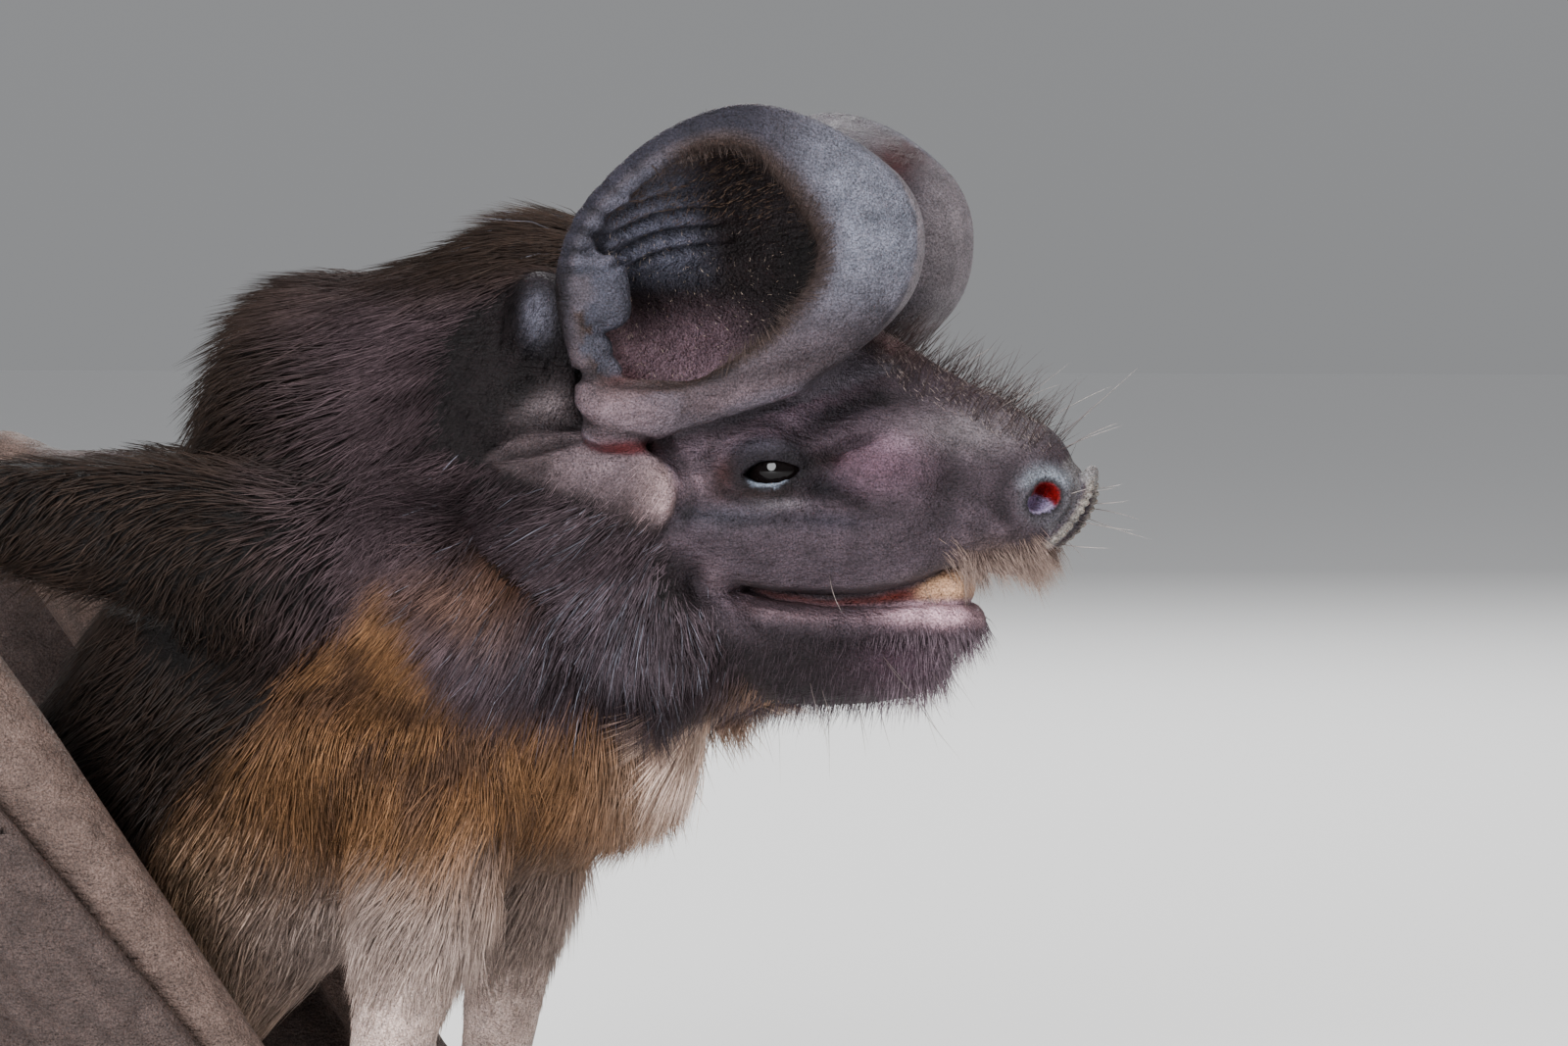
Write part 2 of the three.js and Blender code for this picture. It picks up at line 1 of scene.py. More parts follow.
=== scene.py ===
"""A bonneted bat standing on its wrists and hind feet: skin, eyes, twelve claws and a coat of tufts."""

import itertools
import math

import bpy
import numpy as np
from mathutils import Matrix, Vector


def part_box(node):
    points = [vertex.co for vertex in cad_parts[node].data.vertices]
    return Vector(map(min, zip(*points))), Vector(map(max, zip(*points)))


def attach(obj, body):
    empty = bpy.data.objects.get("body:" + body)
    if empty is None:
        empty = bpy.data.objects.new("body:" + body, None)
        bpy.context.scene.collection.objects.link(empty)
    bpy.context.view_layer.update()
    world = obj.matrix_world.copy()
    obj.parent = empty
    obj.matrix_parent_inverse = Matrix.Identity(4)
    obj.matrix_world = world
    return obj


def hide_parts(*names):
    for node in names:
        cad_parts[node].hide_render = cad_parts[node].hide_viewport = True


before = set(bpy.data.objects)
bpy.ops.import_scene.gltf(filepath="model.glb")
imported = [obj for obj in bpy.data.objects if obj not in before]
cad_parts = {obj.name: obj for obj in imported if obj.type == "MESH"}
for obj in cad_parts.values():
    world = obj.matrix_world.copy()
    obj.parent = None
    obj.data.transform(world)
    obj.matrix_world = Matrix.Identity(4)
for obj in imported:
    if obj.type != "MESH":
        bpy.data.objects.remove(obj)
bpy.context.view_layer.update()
MM = 0.001

# ---------------------------------------------------------------- places
# The animal is worked out in millimetres. at() gives a place by how far it lies behind the nose tip, how far
# to the left of the middle, and how high above the floor. Its left half is made, then mirrored.
EYE_BACK, EYE_SIDE, EYE_HEIGHT, EYE_RADIUS = 17.5, 6.3, 47.8, 2.2
eye_low, eye_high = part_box("eye_left")
NOSE_X = (eye_low[0] + eye_high[0]) / 2 / MM + EYE_BACK


def at(back, side, height):
    return np.array([NOSE_X - back, side, height], dtype=np.float32)


def x_at(back):
    return at(back, 0, 0)[0]


# ---------------------------------------------------------------- camera, light, floor
CAMERA_AZIMUTH, CAMERA_ELEVATION, CAMERA_DISTANCE = math.radians(13), math.radians(2), 0.4
FRAME_WIDTH = 0.0914  # of the picture, at the animal's middle plane
VIEW_CENTRE = Vector([float(v) * MM for v in at(18.65, 0, 44.5)])


def link(thing):
    bpy.context.scene.collection.objects.link(thing)
    return thing


def make_camera():
    data = bpy.data.cameras.new("camera")
    data.sensor_width = 36
    data.lens = data.sensor_width * CAMERA_DISTANCE / FRAME_WIDTH
    data.clip_start, data.clip_end = 0.01, 20
    camera = link(bpy.data.objects.new("camera", data))
    level = math.cos(CAMERA_ELEVATION)
    away = Vector(
        (math.sin(CAMERA_AZIMUTH) * level, -math.cos(CAMERA_AZIMUTH) * level, math.sin(CAMERA_ELEVATION))
    )
    camera.location = VIEW_CENTRE + away * CAMERA_DISTANCE
    camera.rotation_mode = "QUATERNION"
    camera.rotation_quaternion = (-away).to_track_quat("-Z", "Y")
    bpy.context.scene.camera = camera


def area_light(name, place, size, power, colour):
    """A round lamp turned to the middle of the view."""
    data = bpy.data.lights.new(name, "AREA")
    data.shape = "DISK"
    data.size, data.energy, data.color = size, power, colour
    lamp = link(bpy.data.objects.new(name, data))
    lamp.location = place
    lamp.rotation_mode = "QUATERNION"
    lamp.rotation_quaternion = (VIEW_CENTRE - Vector(place)).to_track_quat("-Z", "Y")


def make_floor():
    bpy.ops.mesh.primitive_plane_add(size=8, location=(0, 0, 0))
    floor = bpy.context.object
    floor.name = "floor"
    material = bpy.data.materials.new("pale_floor")
    material.use_nodes = True
    shader = material.node_tree.nodes["Principled BSDF"]
    shader.inputs["Base Color"].default_value = (0.9, 0.9, 0.9, 1)
    shader.inputs["Roughness"].default_value = 0.9
    floor.data.materials.append(material)


def make_light():
    """An even pale room, a key lamp over the face, one for the eye, a weak fill and a rim light behind."""
    world = bpy.data.worlds.new("studio")
    world.use_nodes = True
    nodes, links = world.node_tree.nodes, world.node_tree.links
    way = nodes.new("ShaderNodeSeparateXYZ")
    links.new(nodes.new("ShaderNodeTexCoord").outputs["Generated"], way.inputs["Vector"])
    height = nodes.new("ShaderNodeMapRange")  # a little darker low down, where it meets the floor
    height.inputs["From Min"].default_value, height.inputs["From Max"].default_value = 0, 0.4
    height.inputs["To Min"].default_value, height.inputs["To Max"].default_value = 0.39, 0.45
    links.new(way.outputs["Z"], height.inputs["Value"])
    nodes["Background"].inputs["Color"].default_value = (0.72, 0.73, 0.75, 1)
    links.new(height.outputs["Result"], nodes["Background"].inputs["Strength"])
    bpy.context.scene.world = world
    area_light("key", (0.28, -0.2, 0.62), 0.25, 4.8, (1, 0.98, 0.95))
    area_light("eye_light", (-0.04, -0.5, 0.14), 0.24, 5.4, (0.95, 0.97, 1))
    area_light("fill", (-0.6, -0.4, 0.3), 0.6, 0.8, (0.93, 0.96, 1))
    area_light("rim", (-0.15, 0.6, 0.5), 0.3, 4, (1, 1, 1))


make_camera()
make_floor()
make_light()


# ---------------------------------------------------------------- distance fields
# A field takes three arrays of coordinates and gives the distance to a surface, below zero inside.
def smooth_min(a, b, blend):
    h = np.maximum(blend - np.abs(a - b), 0) / blend
    return np.minimum(a, b) - h * h * (blend * 0.25)


def smooth_max(a, b, blend):
    return -smooth_min(-a, -b, blend)


def grown(d, forms, x, y, z):
    """A distance with more forms melted into it, each by its own blend."""
    for form, blend in forms:
        d = smooth_min(d, form(x, y, z), blend)
    return d


def egg(centre, radii, lean=0.0, turn=0.0):
    """An ellipsoid, its top leant back by `lean` degrees, its front turned to the left by `turn` degrees."""
    c, s = math.cos(math.radians(lean)), math.sin(math.radians(lean))
    ct, st = math.cos(math.radians(turn)), math.sin(math.radians(turn))
    rx, ry, rz = radii

    def distance(x, y, z):
        dx, dy, dz = x - centre[0], y - centre[1], z - centre[2]
        if turn:
            dx, dy = dx * ct + dy * st, dy * ct - dx * st
        u, v, w = (dx * c + dz * s) / rx, dy / ry, (dz * c - dx * s) / rz
        k0 = np.sqrt(u * u + v * v + w * w) + 1e-6
        k1 = np.sqrt((u / rx) ** 2 + (v / ry) ** 2 + (w / rz) ** 2) + 1e-6
        return k0 * (k0 - 1) / k1

    return distance


def bar(a, b, r0, r1):
    """A round bar whose radius runs from r0 to r1."""
    axis = b - a
    squared = float(axis @ axis)

    def distance(x, y, z):
        dx, dy, dz = x - a[0], y - a[1], z - a[2]
        h = np.clip((dx * axis[0] + dy * axis[1] + dz * axis[2]) / squared, 0, 1)
        dx, dy, dz = dx - h * axis[0], dy - h * axis[1], dz - h * axis[2]
        return np.sqrt(dx * dx + dy * dy + dz * dz) - (r0 + (r1 - r0) * h)

    return distance


def chain(points, radii):
    """Bars through a row of points."""
    bars = [bar(points[i], points[i + 1], radii[i], radii[i + 1]) for i in range(len(points) - 1)]

    def distance(x, y, z):
        nearest = bars[0](x, y, z)
        for one in bars[1:]:
            nearest = np.minimum(nearest, one(x, y, z))
        return nearest

    return distance


def melt(forms, blend):
    """Forms melted into one."""

    def distance(x, y, z):
        return grown(forms[0](x, y, z), [(form, blend) for form in forms[1:]], x, y, z)

    return distance


def ramp(value, start, end):
    """0 before start, 1 after end, smooth between."""
    t = np.clip((value - start) / (end - start), 0, 1)
    return t * t * (3 - 2 * t)


def fall(value, start, end):
    """1 before start, 0 after end, smooth between."""
    return 1 - ramp(value, start, end)


def spread(nodes, values):
    """So many places spaced along a smooth curve through rows of values (the cubic of Catmull and Rom)."""
    last = len(values) - 1
    s = np.clip(np.linspace(0, 1, nodes) * last, 0, last - 1e-6)
    i = s.astype(int)
    f = (s - i)[:, None]
    p0, p1 = values[np.maximum(i - 1, 0)], values[i]
    p2, p3 = values[np.minimum(i + 1, last)], values[np.minimum(i + 2, last)]
    square, cube = 2 * p0 - 5 * p1 + 4 * p2 - p3, 3 * p1 - p0 - 3 * p2 + p3
    return 0.5 * (2 * p1 + (p2 - p0) * f + square * f**2 + cube * f**3)


# ---------------------------------------------------------------- head and trunk
# Forms are listed with the blend that melts each into the ones before it.
def coat_depth(x, y, z):
    """How far the skin lies below the tips of the coat."""
    back = NOSE_X - x
    body = ramp(back, 22, 31) * fall(back, 70, 84)
    crown = ramp(z, 49.5, 53) * ramp(back, 3, 7) * fall(back, 15, 24)
    chin = fall(z, 36.5, 39) * fall(back, 22, 31)
    return 0.2 + 2.1 * body + 0.9 * crown + 0.75 * chin


cheek = bar(at(24, 5.2, 46), at(29, 6, 44), 4.8, 5.4)
nape = egg(at(31, 0, 53), (8.5, 8.8, 10.7), lean=8)
head_main = melt(
    [
        egg(at(21.5, 0, 48.2), (11.5, 8.2, 9.4), lean=10),
        bar(at(17, 0, 51.6), at(5.2, 0, 47.5), 6.4, 3.3),
        bar(at(19, 0, 47.6), at(5.4, 0, 46), 7.2, 3.6),
        cheek,
        nape,
    ],
    3,
)
head_fine = [
    (bar(at(19, 4.6, 44.8), at(12, 3.5, 44.5), 4.6, 3.8), 2.5),
    (bar(at(12, 3.5, 44.5), at(5.8, 1.9, 45.3), 3.8, 3), 2.5),
    (bar(at(13, 0, 53), at(7.4, 0, 50.9), 3, 2.3), 2),
    (egg(at(5.2, 0, 43.1), (2.1, 2.8, 2.0)), 1.2),
]
jaw_fine = [
    (bar(at(24, 5.6, 37.2), at(11.0, 1.4, 38.3), 4.6, 2.2), 3),
    (egg(at(9.1, 0, 38.7), (2.6, 3.2, 1.9)), 2),
    (egg(at(12.2, 0, 37.1), (2.6, 3, 2.0)), 2),
]
jaw_main = egg(at(17.5, 0, 36.6), (9.5, 5.6, 3.5), lean=-4)
trunk_forms = [
    (egg(at(33.5, 0, 48.2), (9.5, 11.2, 14.8), lean=20), 3),
    (egg(at(33.5, 0, 34.2), (11, 11, 11)), 5),
    (egg(at(41, 0, 44.4), (13.5, 13.6, 17.4), lean=33), 5),
    (egg(at(47, 0, 34), (17, 14.6, 15), lean=42), 6),
    (egg(at(58, 0, 22.5), (17, 13.4, 13), lean=42), 6),
    (egg(at(68.5, 0, 13.2), (11.5, 10.6, 9.4), lean=38), 6),
    (bar(at(72, 0, 9.5), at(80, 0, 4.6), 5, 2.4), 5),
]

# The mouth: the edge of the upper lip and the edge of the lower one, by distance behind the nose tip.
LIP_BACK = [2, 3.6, 5.2, 6.8, 7.6, 8.6, 10, 12.7, 15.3, 18.4, 19.7, 20.6, 23, 30]
UPPER_LIP = [43.0, 42.0, 41.3, 41.3, 42.0, 41.8, 41.1, 40.4, 40.15, 40.6, 40.95, 40.3, 39.6, 39.6]
LOWER_LIP = [39.6, 39.85, 40.1, 40.35, 40.4, 40.4, 40.35, 40.1, 40.0, 40.4, 40.85, 41.3, 42.4, 42.4]


def trunk_distance(x, y, z):
    return grown(trunk_forms[0][0](x, y, z), trunk_forms[1:], x, y, z)


def lip_edge(back, heights):
    return np.interp(back, LIP_BACK, heights)


gum = egg(at(15.8, 0, 41.0), (10.5, 3.9, 2.4))


def head_and_trunk(x, y, z):
    back = NOSE_X - x
    trunk = smooth_min(trunk_distance(x, y, z), nape(x, y, z), 3)
    face = grown(head_main(x, y, z), head_fine, x, y, z)
    face = smooth_max(face, lip_edge(back, UPPER_LIP).astype(np.float32) - z, 0.9)
    jaw = grown(jaw_main(x, y, z), jaw_fine, x, y, z)
    jaw = smooth_max(jaw, z - lip_edge(back, LOWER_LIP).astype(np.float32), 0.9)
    hinge = 0.05 + 3.5 * ramp(back, 20.3, 24.5)  # the jaw runs into the face behind the corner of the mouth
    head = np.minimum(smooth_min(face, jaw, hinge), smooth_max(gum(x, y, z), 7.4 - back, 0.7))
    return smooth_min(head, trunk, 3) + coat_depth(x, y, z)


# ---------------------------------------------------------------- the ear
# Its rim as seen from the side, by outermost points: distance behind the nose tip, side, height, and the
# radius of the roll that edges it there.
EAR_RIM = np.array(
    [
        (18.6, 10.6, 68.3, 1.1),
        (14.5, 9.8, 67.3, 1.95),
        (11.2, 8.5, 64.7, 2.6),
        (10.0, 8.0, 61.4, 2.7),
        (11.0, 8.4, 57.3, 2.4),
        (15.6, 9.4, 53.2, 1.6),
        (21.9, 10.6, 50.6, 1.35),
        (26.4, 11.6, 49.9, 1.4),
        (27.5, 12.0, 53.8, 0.8),
        (28.3, 12.2, 58.5, 0.55),
        (26.7, 12.2, 62.8, 0.55),
        (22.9, 11.6, 66.5, 0.7),
    ],
    dtype=np.float32,
)
EAR_MIDDLE, EAR_BOTTOM = at(18.6, 10.4, 59.2), at(16.2, 1.7, 58.8)
EAR_WALL = 0.8
EAR_BOX = (at(31, 0.4, 46), at(5, 14, 70))


def rim_table():
    """For every direction about the ear's middle: the rim's reach, its side and its roll's radius."""
    ring = np.vstack([EAR_RIM[-2:], EAR_RIM, EAR_RIM[:3]])
    curve = spread(600, ring)
    dx = (NOSE_X - curve[:, 0]) - EAR_MIDDLE[0]
    dz = curve[:, 2] - EAR_MIDDLE[2]
    angle = np.unwrap(np.arctan2(dz, dx))
    order = np.argsort(angle)
    angle = angle[order]
    rows = np.stack([np.hypot(dx, dz), curve[:, 1], curve[:, 3]], axis=1)[order]
    turns = np.linspace(-math.pi, math.pi, 721)
    spans = [turns + 2 * math.pi * k for k in (-2, -1, 0, 1, 2)]
    table = []
    for column in rows.T:
        tries = [np.interp(span, angle, column, left=np.nan, right=np.nan) for span in spans]
        table.append(np.nanmean(np.stack(tries), axis=0))
    return turns, table


RIM_TURNS, (RIM_REACH, RIM_SIDE, RIM_ROLL) = rim_table()


def ear_frame(x, y, z):
    """Places about the ear's axis: distance out, depth below the rim; and the rim's reach, roll, depth."""
    sink = (EAR_MIDDLE[1] - y) / (EAR_MIDDLE[1] - EAR_BOTTOM[1])
    dx = x - EAR_MIDDLE[0] - (EAR_BOTTOM[0] - EAR_MIDDLE[0]) * sink
    dz = z - EAR_MIDDLE[2] - (EAR_BOTTOM[2] - EAR_MIDDLE[2]) * sink
    turn = np.arctan2(dz, dx)
    reach = np.interp(turn, RIM_TURNS, RIM_REACH)
    side = np.interp(turn, RIM_TURNS, RIM_SIDE)
    roll = np.interp(turn, RIM_TURNS, RIM_ROLL)
    return np.hypot(dx, dz), side - y, reach, roll, side - EAR_BOTTOM[1] + 0.6


def ear_bowl(rho, sunk, reach, depth):
    """The ear's outer face, a half egg hung from its rim."""
    u, v = rho / reach, sunk / depth
    k0 = np.sqrt(u * u + v * v) + 1e-6
    k1 = np.sqrt((u / reach) ** 2 + (v / depth) ** 2) + 1e-6
    return k0 * (k0 - 1) / k1


def roll_distance(rho, sunk, reach, roll):
    """The roll that edges the ear."""
    return np.hypot(rho - (reach - roll), sunk * 1.1) - roll


def with_ear(x, y, z, head):
    rho, sunk, reach, roll, depth = ear_frame(x, y, z)
    outer = ear_bowl(rho, sunk, reach, depth)
    hollow = smooth_max(outer + EAR_WALL, -sunk - 1.5, 0.5)
    shell = smooth_max(np.abs(outer + EAR_WALL / 2) - EAR_WALL / 2, -sunk, 0.4)
    ear = smooth_min(shell, roll_distance(rho, sunk, reach, roll), 1.3)
    return smooth_min(smooth_max(head, -hollow, 0.8), ear, 1.2)


ear_lobes = [
    (egg(at(26.4, 11.6, 58.3), (1.4, 1.1, 1.6), lean=12), 1.0),
    (egg(at(26.4, 11.7, 57.0), (1.5, 1.15, 1.2), lean=-12), 0.8),
    (egg(at(27.4, 11.7, 58.4), (1.0, 0.9, 1.7)), 0.9),
    (egg(at(27.1, 11.7, 54.7), (1.15, 0.95, 1.05)), 0.22),
    (egg(at(26.3, 11.5, 53.7), (0.7, 0.8, 0.6)), 0.3),
    (egg(at(24.9, 11.0, 51.2), (3.2, 1.8, 1.65), lean=14), 1.6),
]
antitragus = melt(
    [
        egg(at(27.6, 9.3, 46.6), (4.9, 1.5, 3.3), lean=-8, turn=14),
        egg(at(31.2, 9.6, 45.6), (4.0, 1.5, 3.4), turn=-6),
    ],
    2.5,
)
neck_bump = egg(at(31.0, 7.5, 56.4), (1.6, 1.6, 2.7), lean=15)

# ---------------------------------------------------------------- nose and eye
EYE = at(EYE_BACK, EYE_SIDE, EYE_HEIGHT)
NOSTRIL = at(2.7, 2.5, 46.2)
nose_pad = egg(at(2.75, 0, 45.7), (1.6, 3.2, 2.6), lean=-30)
nose_wing = egg(at(3.1, 2.0, 46.4), (1.5, 1.15, 1.5), lean=-10)
nostril_hole = melt(
    [
        chain([NOSTRIL + np.array([0.45, 1.2, 0.1]), at(2.9, 2.1, 46.3)], [0.78, 0.6]),
        egg(at(3.1, 3.0, 45.85), (0.6, 1.1, 0.55), lean=20),
    ],
    0.25,
)
# The beads along the edge of the nose pad, from its top to the lip.
BEADS = [
    (0.42, 0.5, 47.2),
    (0.36, 0.75, 46.75),
    (0.42, 1.05, 46.3),
    (0.55, 1.35, 45.85),
    (0.78, 1.6, 45.4),
    (1.05, 1.85, 44.95),
    (1.35, 2.05, 44.5),
    (1.7, 2.2, 44.1),
    (2.1, 2.3, 43.75),
    (2.55, 2.4, 43.45),
]
bead_forms = [egg(at(*place), (0.24, 0.26, 0.2)) for place in BEADS]
nose_flange = chain([at(b + 0.25, s - 0.1, h + 0.05) for b, s, h in BEADS], [0.3] * len(BEADS))
nose_tip = egg(at(0.5, 0.3, 47.35), (0.4, 0.6, 0.62), lean=-12)
RING_WAY = np.array([0.35, 0.93, 0.1]) / np.linalg.norm([0.35, 0.93, 0.1])


def nostril_ring(x, y, z):
    """The raised rim round the nostril."""
    dx, dy, dz = x - NOSTRIL[0] + 0.05, y - NOSTRIL[1] - 0.25, z - NOSTRIL[2] - 0.05
    out = dx * RING_WAY[0] + dy * RING_WAY[1] + dz * RING_WAY[2]
    round_it = np.sqrt(np.maximum(dx * dx + dy * dy + dz * dz - out * out, 0))
    return np.hypot(round_it - 1.22, out) - (0.3 + 0.12 * ramp(dz, -0.5, 1.0))


def eye_opening(x, z):
    """The almond between the lids, as a distance in the side view."""
    tilt = math.radians(6.5)
    u = (x - EYE[0]) * math.cos(tilt) + (z - EYE[2]) * math.sin(tilt)
    w = (z - EYE[2]) * math.cos(tilt) - (x - EYE[0]) * math.sin(tilt) + 0.08
    half = np.where(w > 0, 0.7, 0.66) * (1 - np.clip(np.abs(u) / 1.55, 0, 1.4) ** 2.4)
    return (np.abs(w) - half) * 0.8


def with_eye(x, y, z, head):
    """The head with a mound over the eyeball, parted between the lids, and room for the ball itself."""
    ball = np.sqrt((x - EYE[0]) ** 2 + (y - EYE[1]) ** 2 + (z - EYE[2]) ** 2)
    head = smooth_min(head, ball - (EYE_RADIUS + 0.55), 1.2)
    opening = smooth_max(eye_opening(x, z), ball - (EYE_RADIUS + 1.6), 0.2)
    head = smooth_max(head, -smooth_max(opening, EYE[1] - 0.4 - y, 0.3), 0.22)
    socket = np.maximum(ball - (EYE_RADIUS + 0.02), eye_opening(x, z) - 0.25)
    return smooth_max(head, -socket, 0.08)


# ---------------------------------------------------------------- limbs, tail and membranes
SHOULDER, ELBOW, WRIST = at(38, 9, 40), at(73, 18.5, 46.8), at(40.5, 14.5, 3.5)
HIP, KNEE, ANKLE = at(69, 8, 13.5), at(78, 15.5, 18.5), at(85.5, 16, 3.6)
LIFT = np.array([0, 0, 1], dtype=np.float32)
BARE, FURRED = 0.15, 1.2  # how far the skin lies inside the solids on bare and on furred limbs


def between(a, b, t, lift=0.0):
    return a + (b - a) * t + LIFT * lift


def tube(points, radii, inset=BARE, pieces=24):
    """A round limb along a smooth curve through the points."""
    rows = np.array([[*p, r - inset] for p, r in zip(points, radii)], dtype=np.float32)
    rows = spread(pieces, rows)
    return chain(rows[:, :3], rows[:, 3])


upper_arm = tube(
    [between(SHOULDER, ELBOW, t, lift) for t, lift in ((0, 0), (0.3, 1), (0.6, 1), (0.93, 0))],
    [6.6, 6.0, 4.3, 2.9],
    FURRED,
    8,
)
forearm = tube(
    [between(WRIST, ELBOW, t, lift) for t, lift in ((0.06, 0), (0.35, 1), (0.7, 1.2), (0.93, 0.6), (1, 0))],
    [2.4, 2.6, 3.4, 3.2, 2.6],
    pieces=10,
)
palm = tube([at(36.8, 13.6, 2.4), WRIST, at(43.5, 15.6, 8)], [2.3, 3.5, 2.9], pieces=8)
thumb = tube(
    [at(37.5, 13.8, 2.1), at(36.5, 13.4, 1.9), at(33, 12.2, 1.65), at(30, 11.4, 1.45), at(28.9, 11.1, 1.5)],
    [1.8, 1.7, 1.35, 1.15, 0.8],
    pieces=9,
)
thumb_pad = egg(at(38.5, 13.6, 1.3), (3.0, 2.2, 1.2))
arm_fold = tube(
    [at(37, 6, 33), at(37.4, 9.4, 25), at(38.6, 11.6, 17), at(40, 13, 9.5)], [4.6, 4.3, 3.1, 2.4], 0.5, 10
)
thigh = tube([HIP, between(HIP, KNEE, 0.6), KNEE], [4.6, 3.8, 2.6], 1.0, 6)
shank = tube([KNEE, between(KNEE, ANKLE, 0.5), ANKLE], [2.2, 1.85, 1.5], pieces=6)
TOES = (-2, -1, 0, 1, 2)


def toe_root(i):
    return at(90.2 + 0.3 * (2 - abs(i)), 17.3 + i * 1.05, 1.9)


def toe_tip(i):
    return at(95.4 + 0.5 * (2 - abs(i)), 18.6 + i * 1.9, 1.05)


foot_forms = [
    bar(at(85, 16, 1.65), at(88, 16.7, 1.6), 1.5, 1.55),
    bar(at(88, 16.7, 1.6), at(91, 16.6, 1.4), 1.5, 1.3),
    bar(at(88, 16.7, 1.6), at(91, 18.4, 1.4), 1.5, 1.3),
]
toe_forms = [
    tube([toe_root(i), between(toe_root(i), toe_tip(i), 0.55, 0.35), toe_tip(i)], [0.85, 0.78, 0.66], 0.1, 7)
    for i in TOES
]
toe_pads = [egg(toe_tip(i) - LIFT * 0.1, (0.8, 0.72, 0.72)) for i in TOES]
tail = tube(
    [at(74, 0, 8.6), at(80, 0, 4.8), at(88, 0, 2.3), at(99, 0, 1.95), at(112, 0, 1.75), at(122.7, 0, 1.3)],
    [3, 2.5, 2.0, 1.8, 1.6, 1.0],
    pieces=30,
)

# The folded wing's finger bones lie side by side: the line of their bundle and half its height there.
FINGER_LINE = [(44.6, 17.6, 6.4), (53, 20, 15.5), (65, 21.8, 29.5), (77, 22.2, 43.5), (81, 22, 48)]
FINGER_HALF = [2.0, 3.4, 3.7, 2.6, 1.3]


def finger_forms():
    """The four finger bones, and the folded skin that joins them."""
    line = np.array([at(*p) for p in FINGER_LINE])
    across = np.cross(line[-1] - line[0], (0, 1, 0))
    across /= np.linalg.norm(across)

    def beside(offset):
        return line + across * (offset * np.array(FINGER_HALF))[:, None]

    bones = []
    for offset, radius, stand in ((-0.82, 0.9, 0.1), (-0.3, 1.0, 0.45), (0.25, 0.95, 0.5), (0.78, 0.8, 0.15)):
        rows = beside(offset) + np.array([0, stand, 0])
        bones.append(tube(rows, [radius * r for r in (1.15, 1.1, 0.95, 0.8, 0.55)], 0.05, 14))
    web = [tube(line, [1.3, 1.5, 1.5, 1.2, 0.8], 0.2, 10)]
    web += [tube(beside(offset), [0.8, 1, 1, 0.8, 0.5], 0.2, 10) for offset in (-0.5, 0.5)]
    return bones, web


finger_bones, finger_web = finger_forms()


def curve_edge(points):
    return spread(40, np.array([at(*p) for p in points], dtype=np.float32))


WING_TOP = curve_edge([(45, 16, 9), (53, 17.8, 20), (64, 19.4, 33), (75, 20, 43.5)])
WING_FOOT = curve_edge([(46, 14.6, 8), (57, 15.4, 9.5), (71, 16.4, 9.5), (84.5, 17.8, 5.2)])
TAIL_EDGE = curve_edge([(77, 3.2, 6.8), (84, 2.6, 3.6), (92, 2.4, 2.6), (99.5, 2.3, 2)])
FOOT_EDGE = curve_edge([(79, 11, 8.6), (83, 13, 6.4), (86, 14.2, 4.6), (88.5, 14.4, 3.4)])


def sheet_points(edge_a, edge_b, ripple):
    """A grid of places on a membrane between two edges: s runs along them, t from one to the other."""
    t = np.linspace(0, 1, 33)
    s = np.linspace(0, 1, len(edge_a))
    grid = edge_a[:, None] * (1 - t[None, :, None]) + edge_b[:, None] * t[None, :, None]
    return grid + ripple(s[:, None], t[None, :])


def wing_ripple(s, t):
    bow = 2.5 * s * np.sin(math.pi * t)
    fold = 0.9 * np.sin(5 * math.pi * t + 2 * s) * np.sin(math.pi * t) * np.sqrt(s)
    fine = 0.16 * np.sin(17 * math.pi * t + 5 * s) * np.sin(math.pi * t)
    return np.stack([bow, fold + fine, np.zeros_like(bow)], axis=-1)


def tail_ripple(s, t):
    wave = 0.45 * np.sin(4 * math.pi * t) * np.sin(math.pi * s)
    return np.stack([np.zeros_like(wave), np.zeros_like(wave), wave], axis=-1)


def denser(points, times=3):
    """A grid of places with more rows put between its own."""
    last = len(points) - 1
    s = np.linspace(0, last, last * times + 1)
    i = np.minimum(s.astype(int), last - 1)
    f = (s - i)[:, None, None]
    return points[i] * (1 - f) + points[i + 1] * f


def shifted(grid, di, dj):
    return np.roll(np.roll(grid, di, 0), dj, 1)


def blurred(grid):
    total = grid
    for di, dj in ((1, 0), (-1, 0), (0, 1), (0, -1)):
        total = total + shifted(grid, di, dj)
    return total / 5


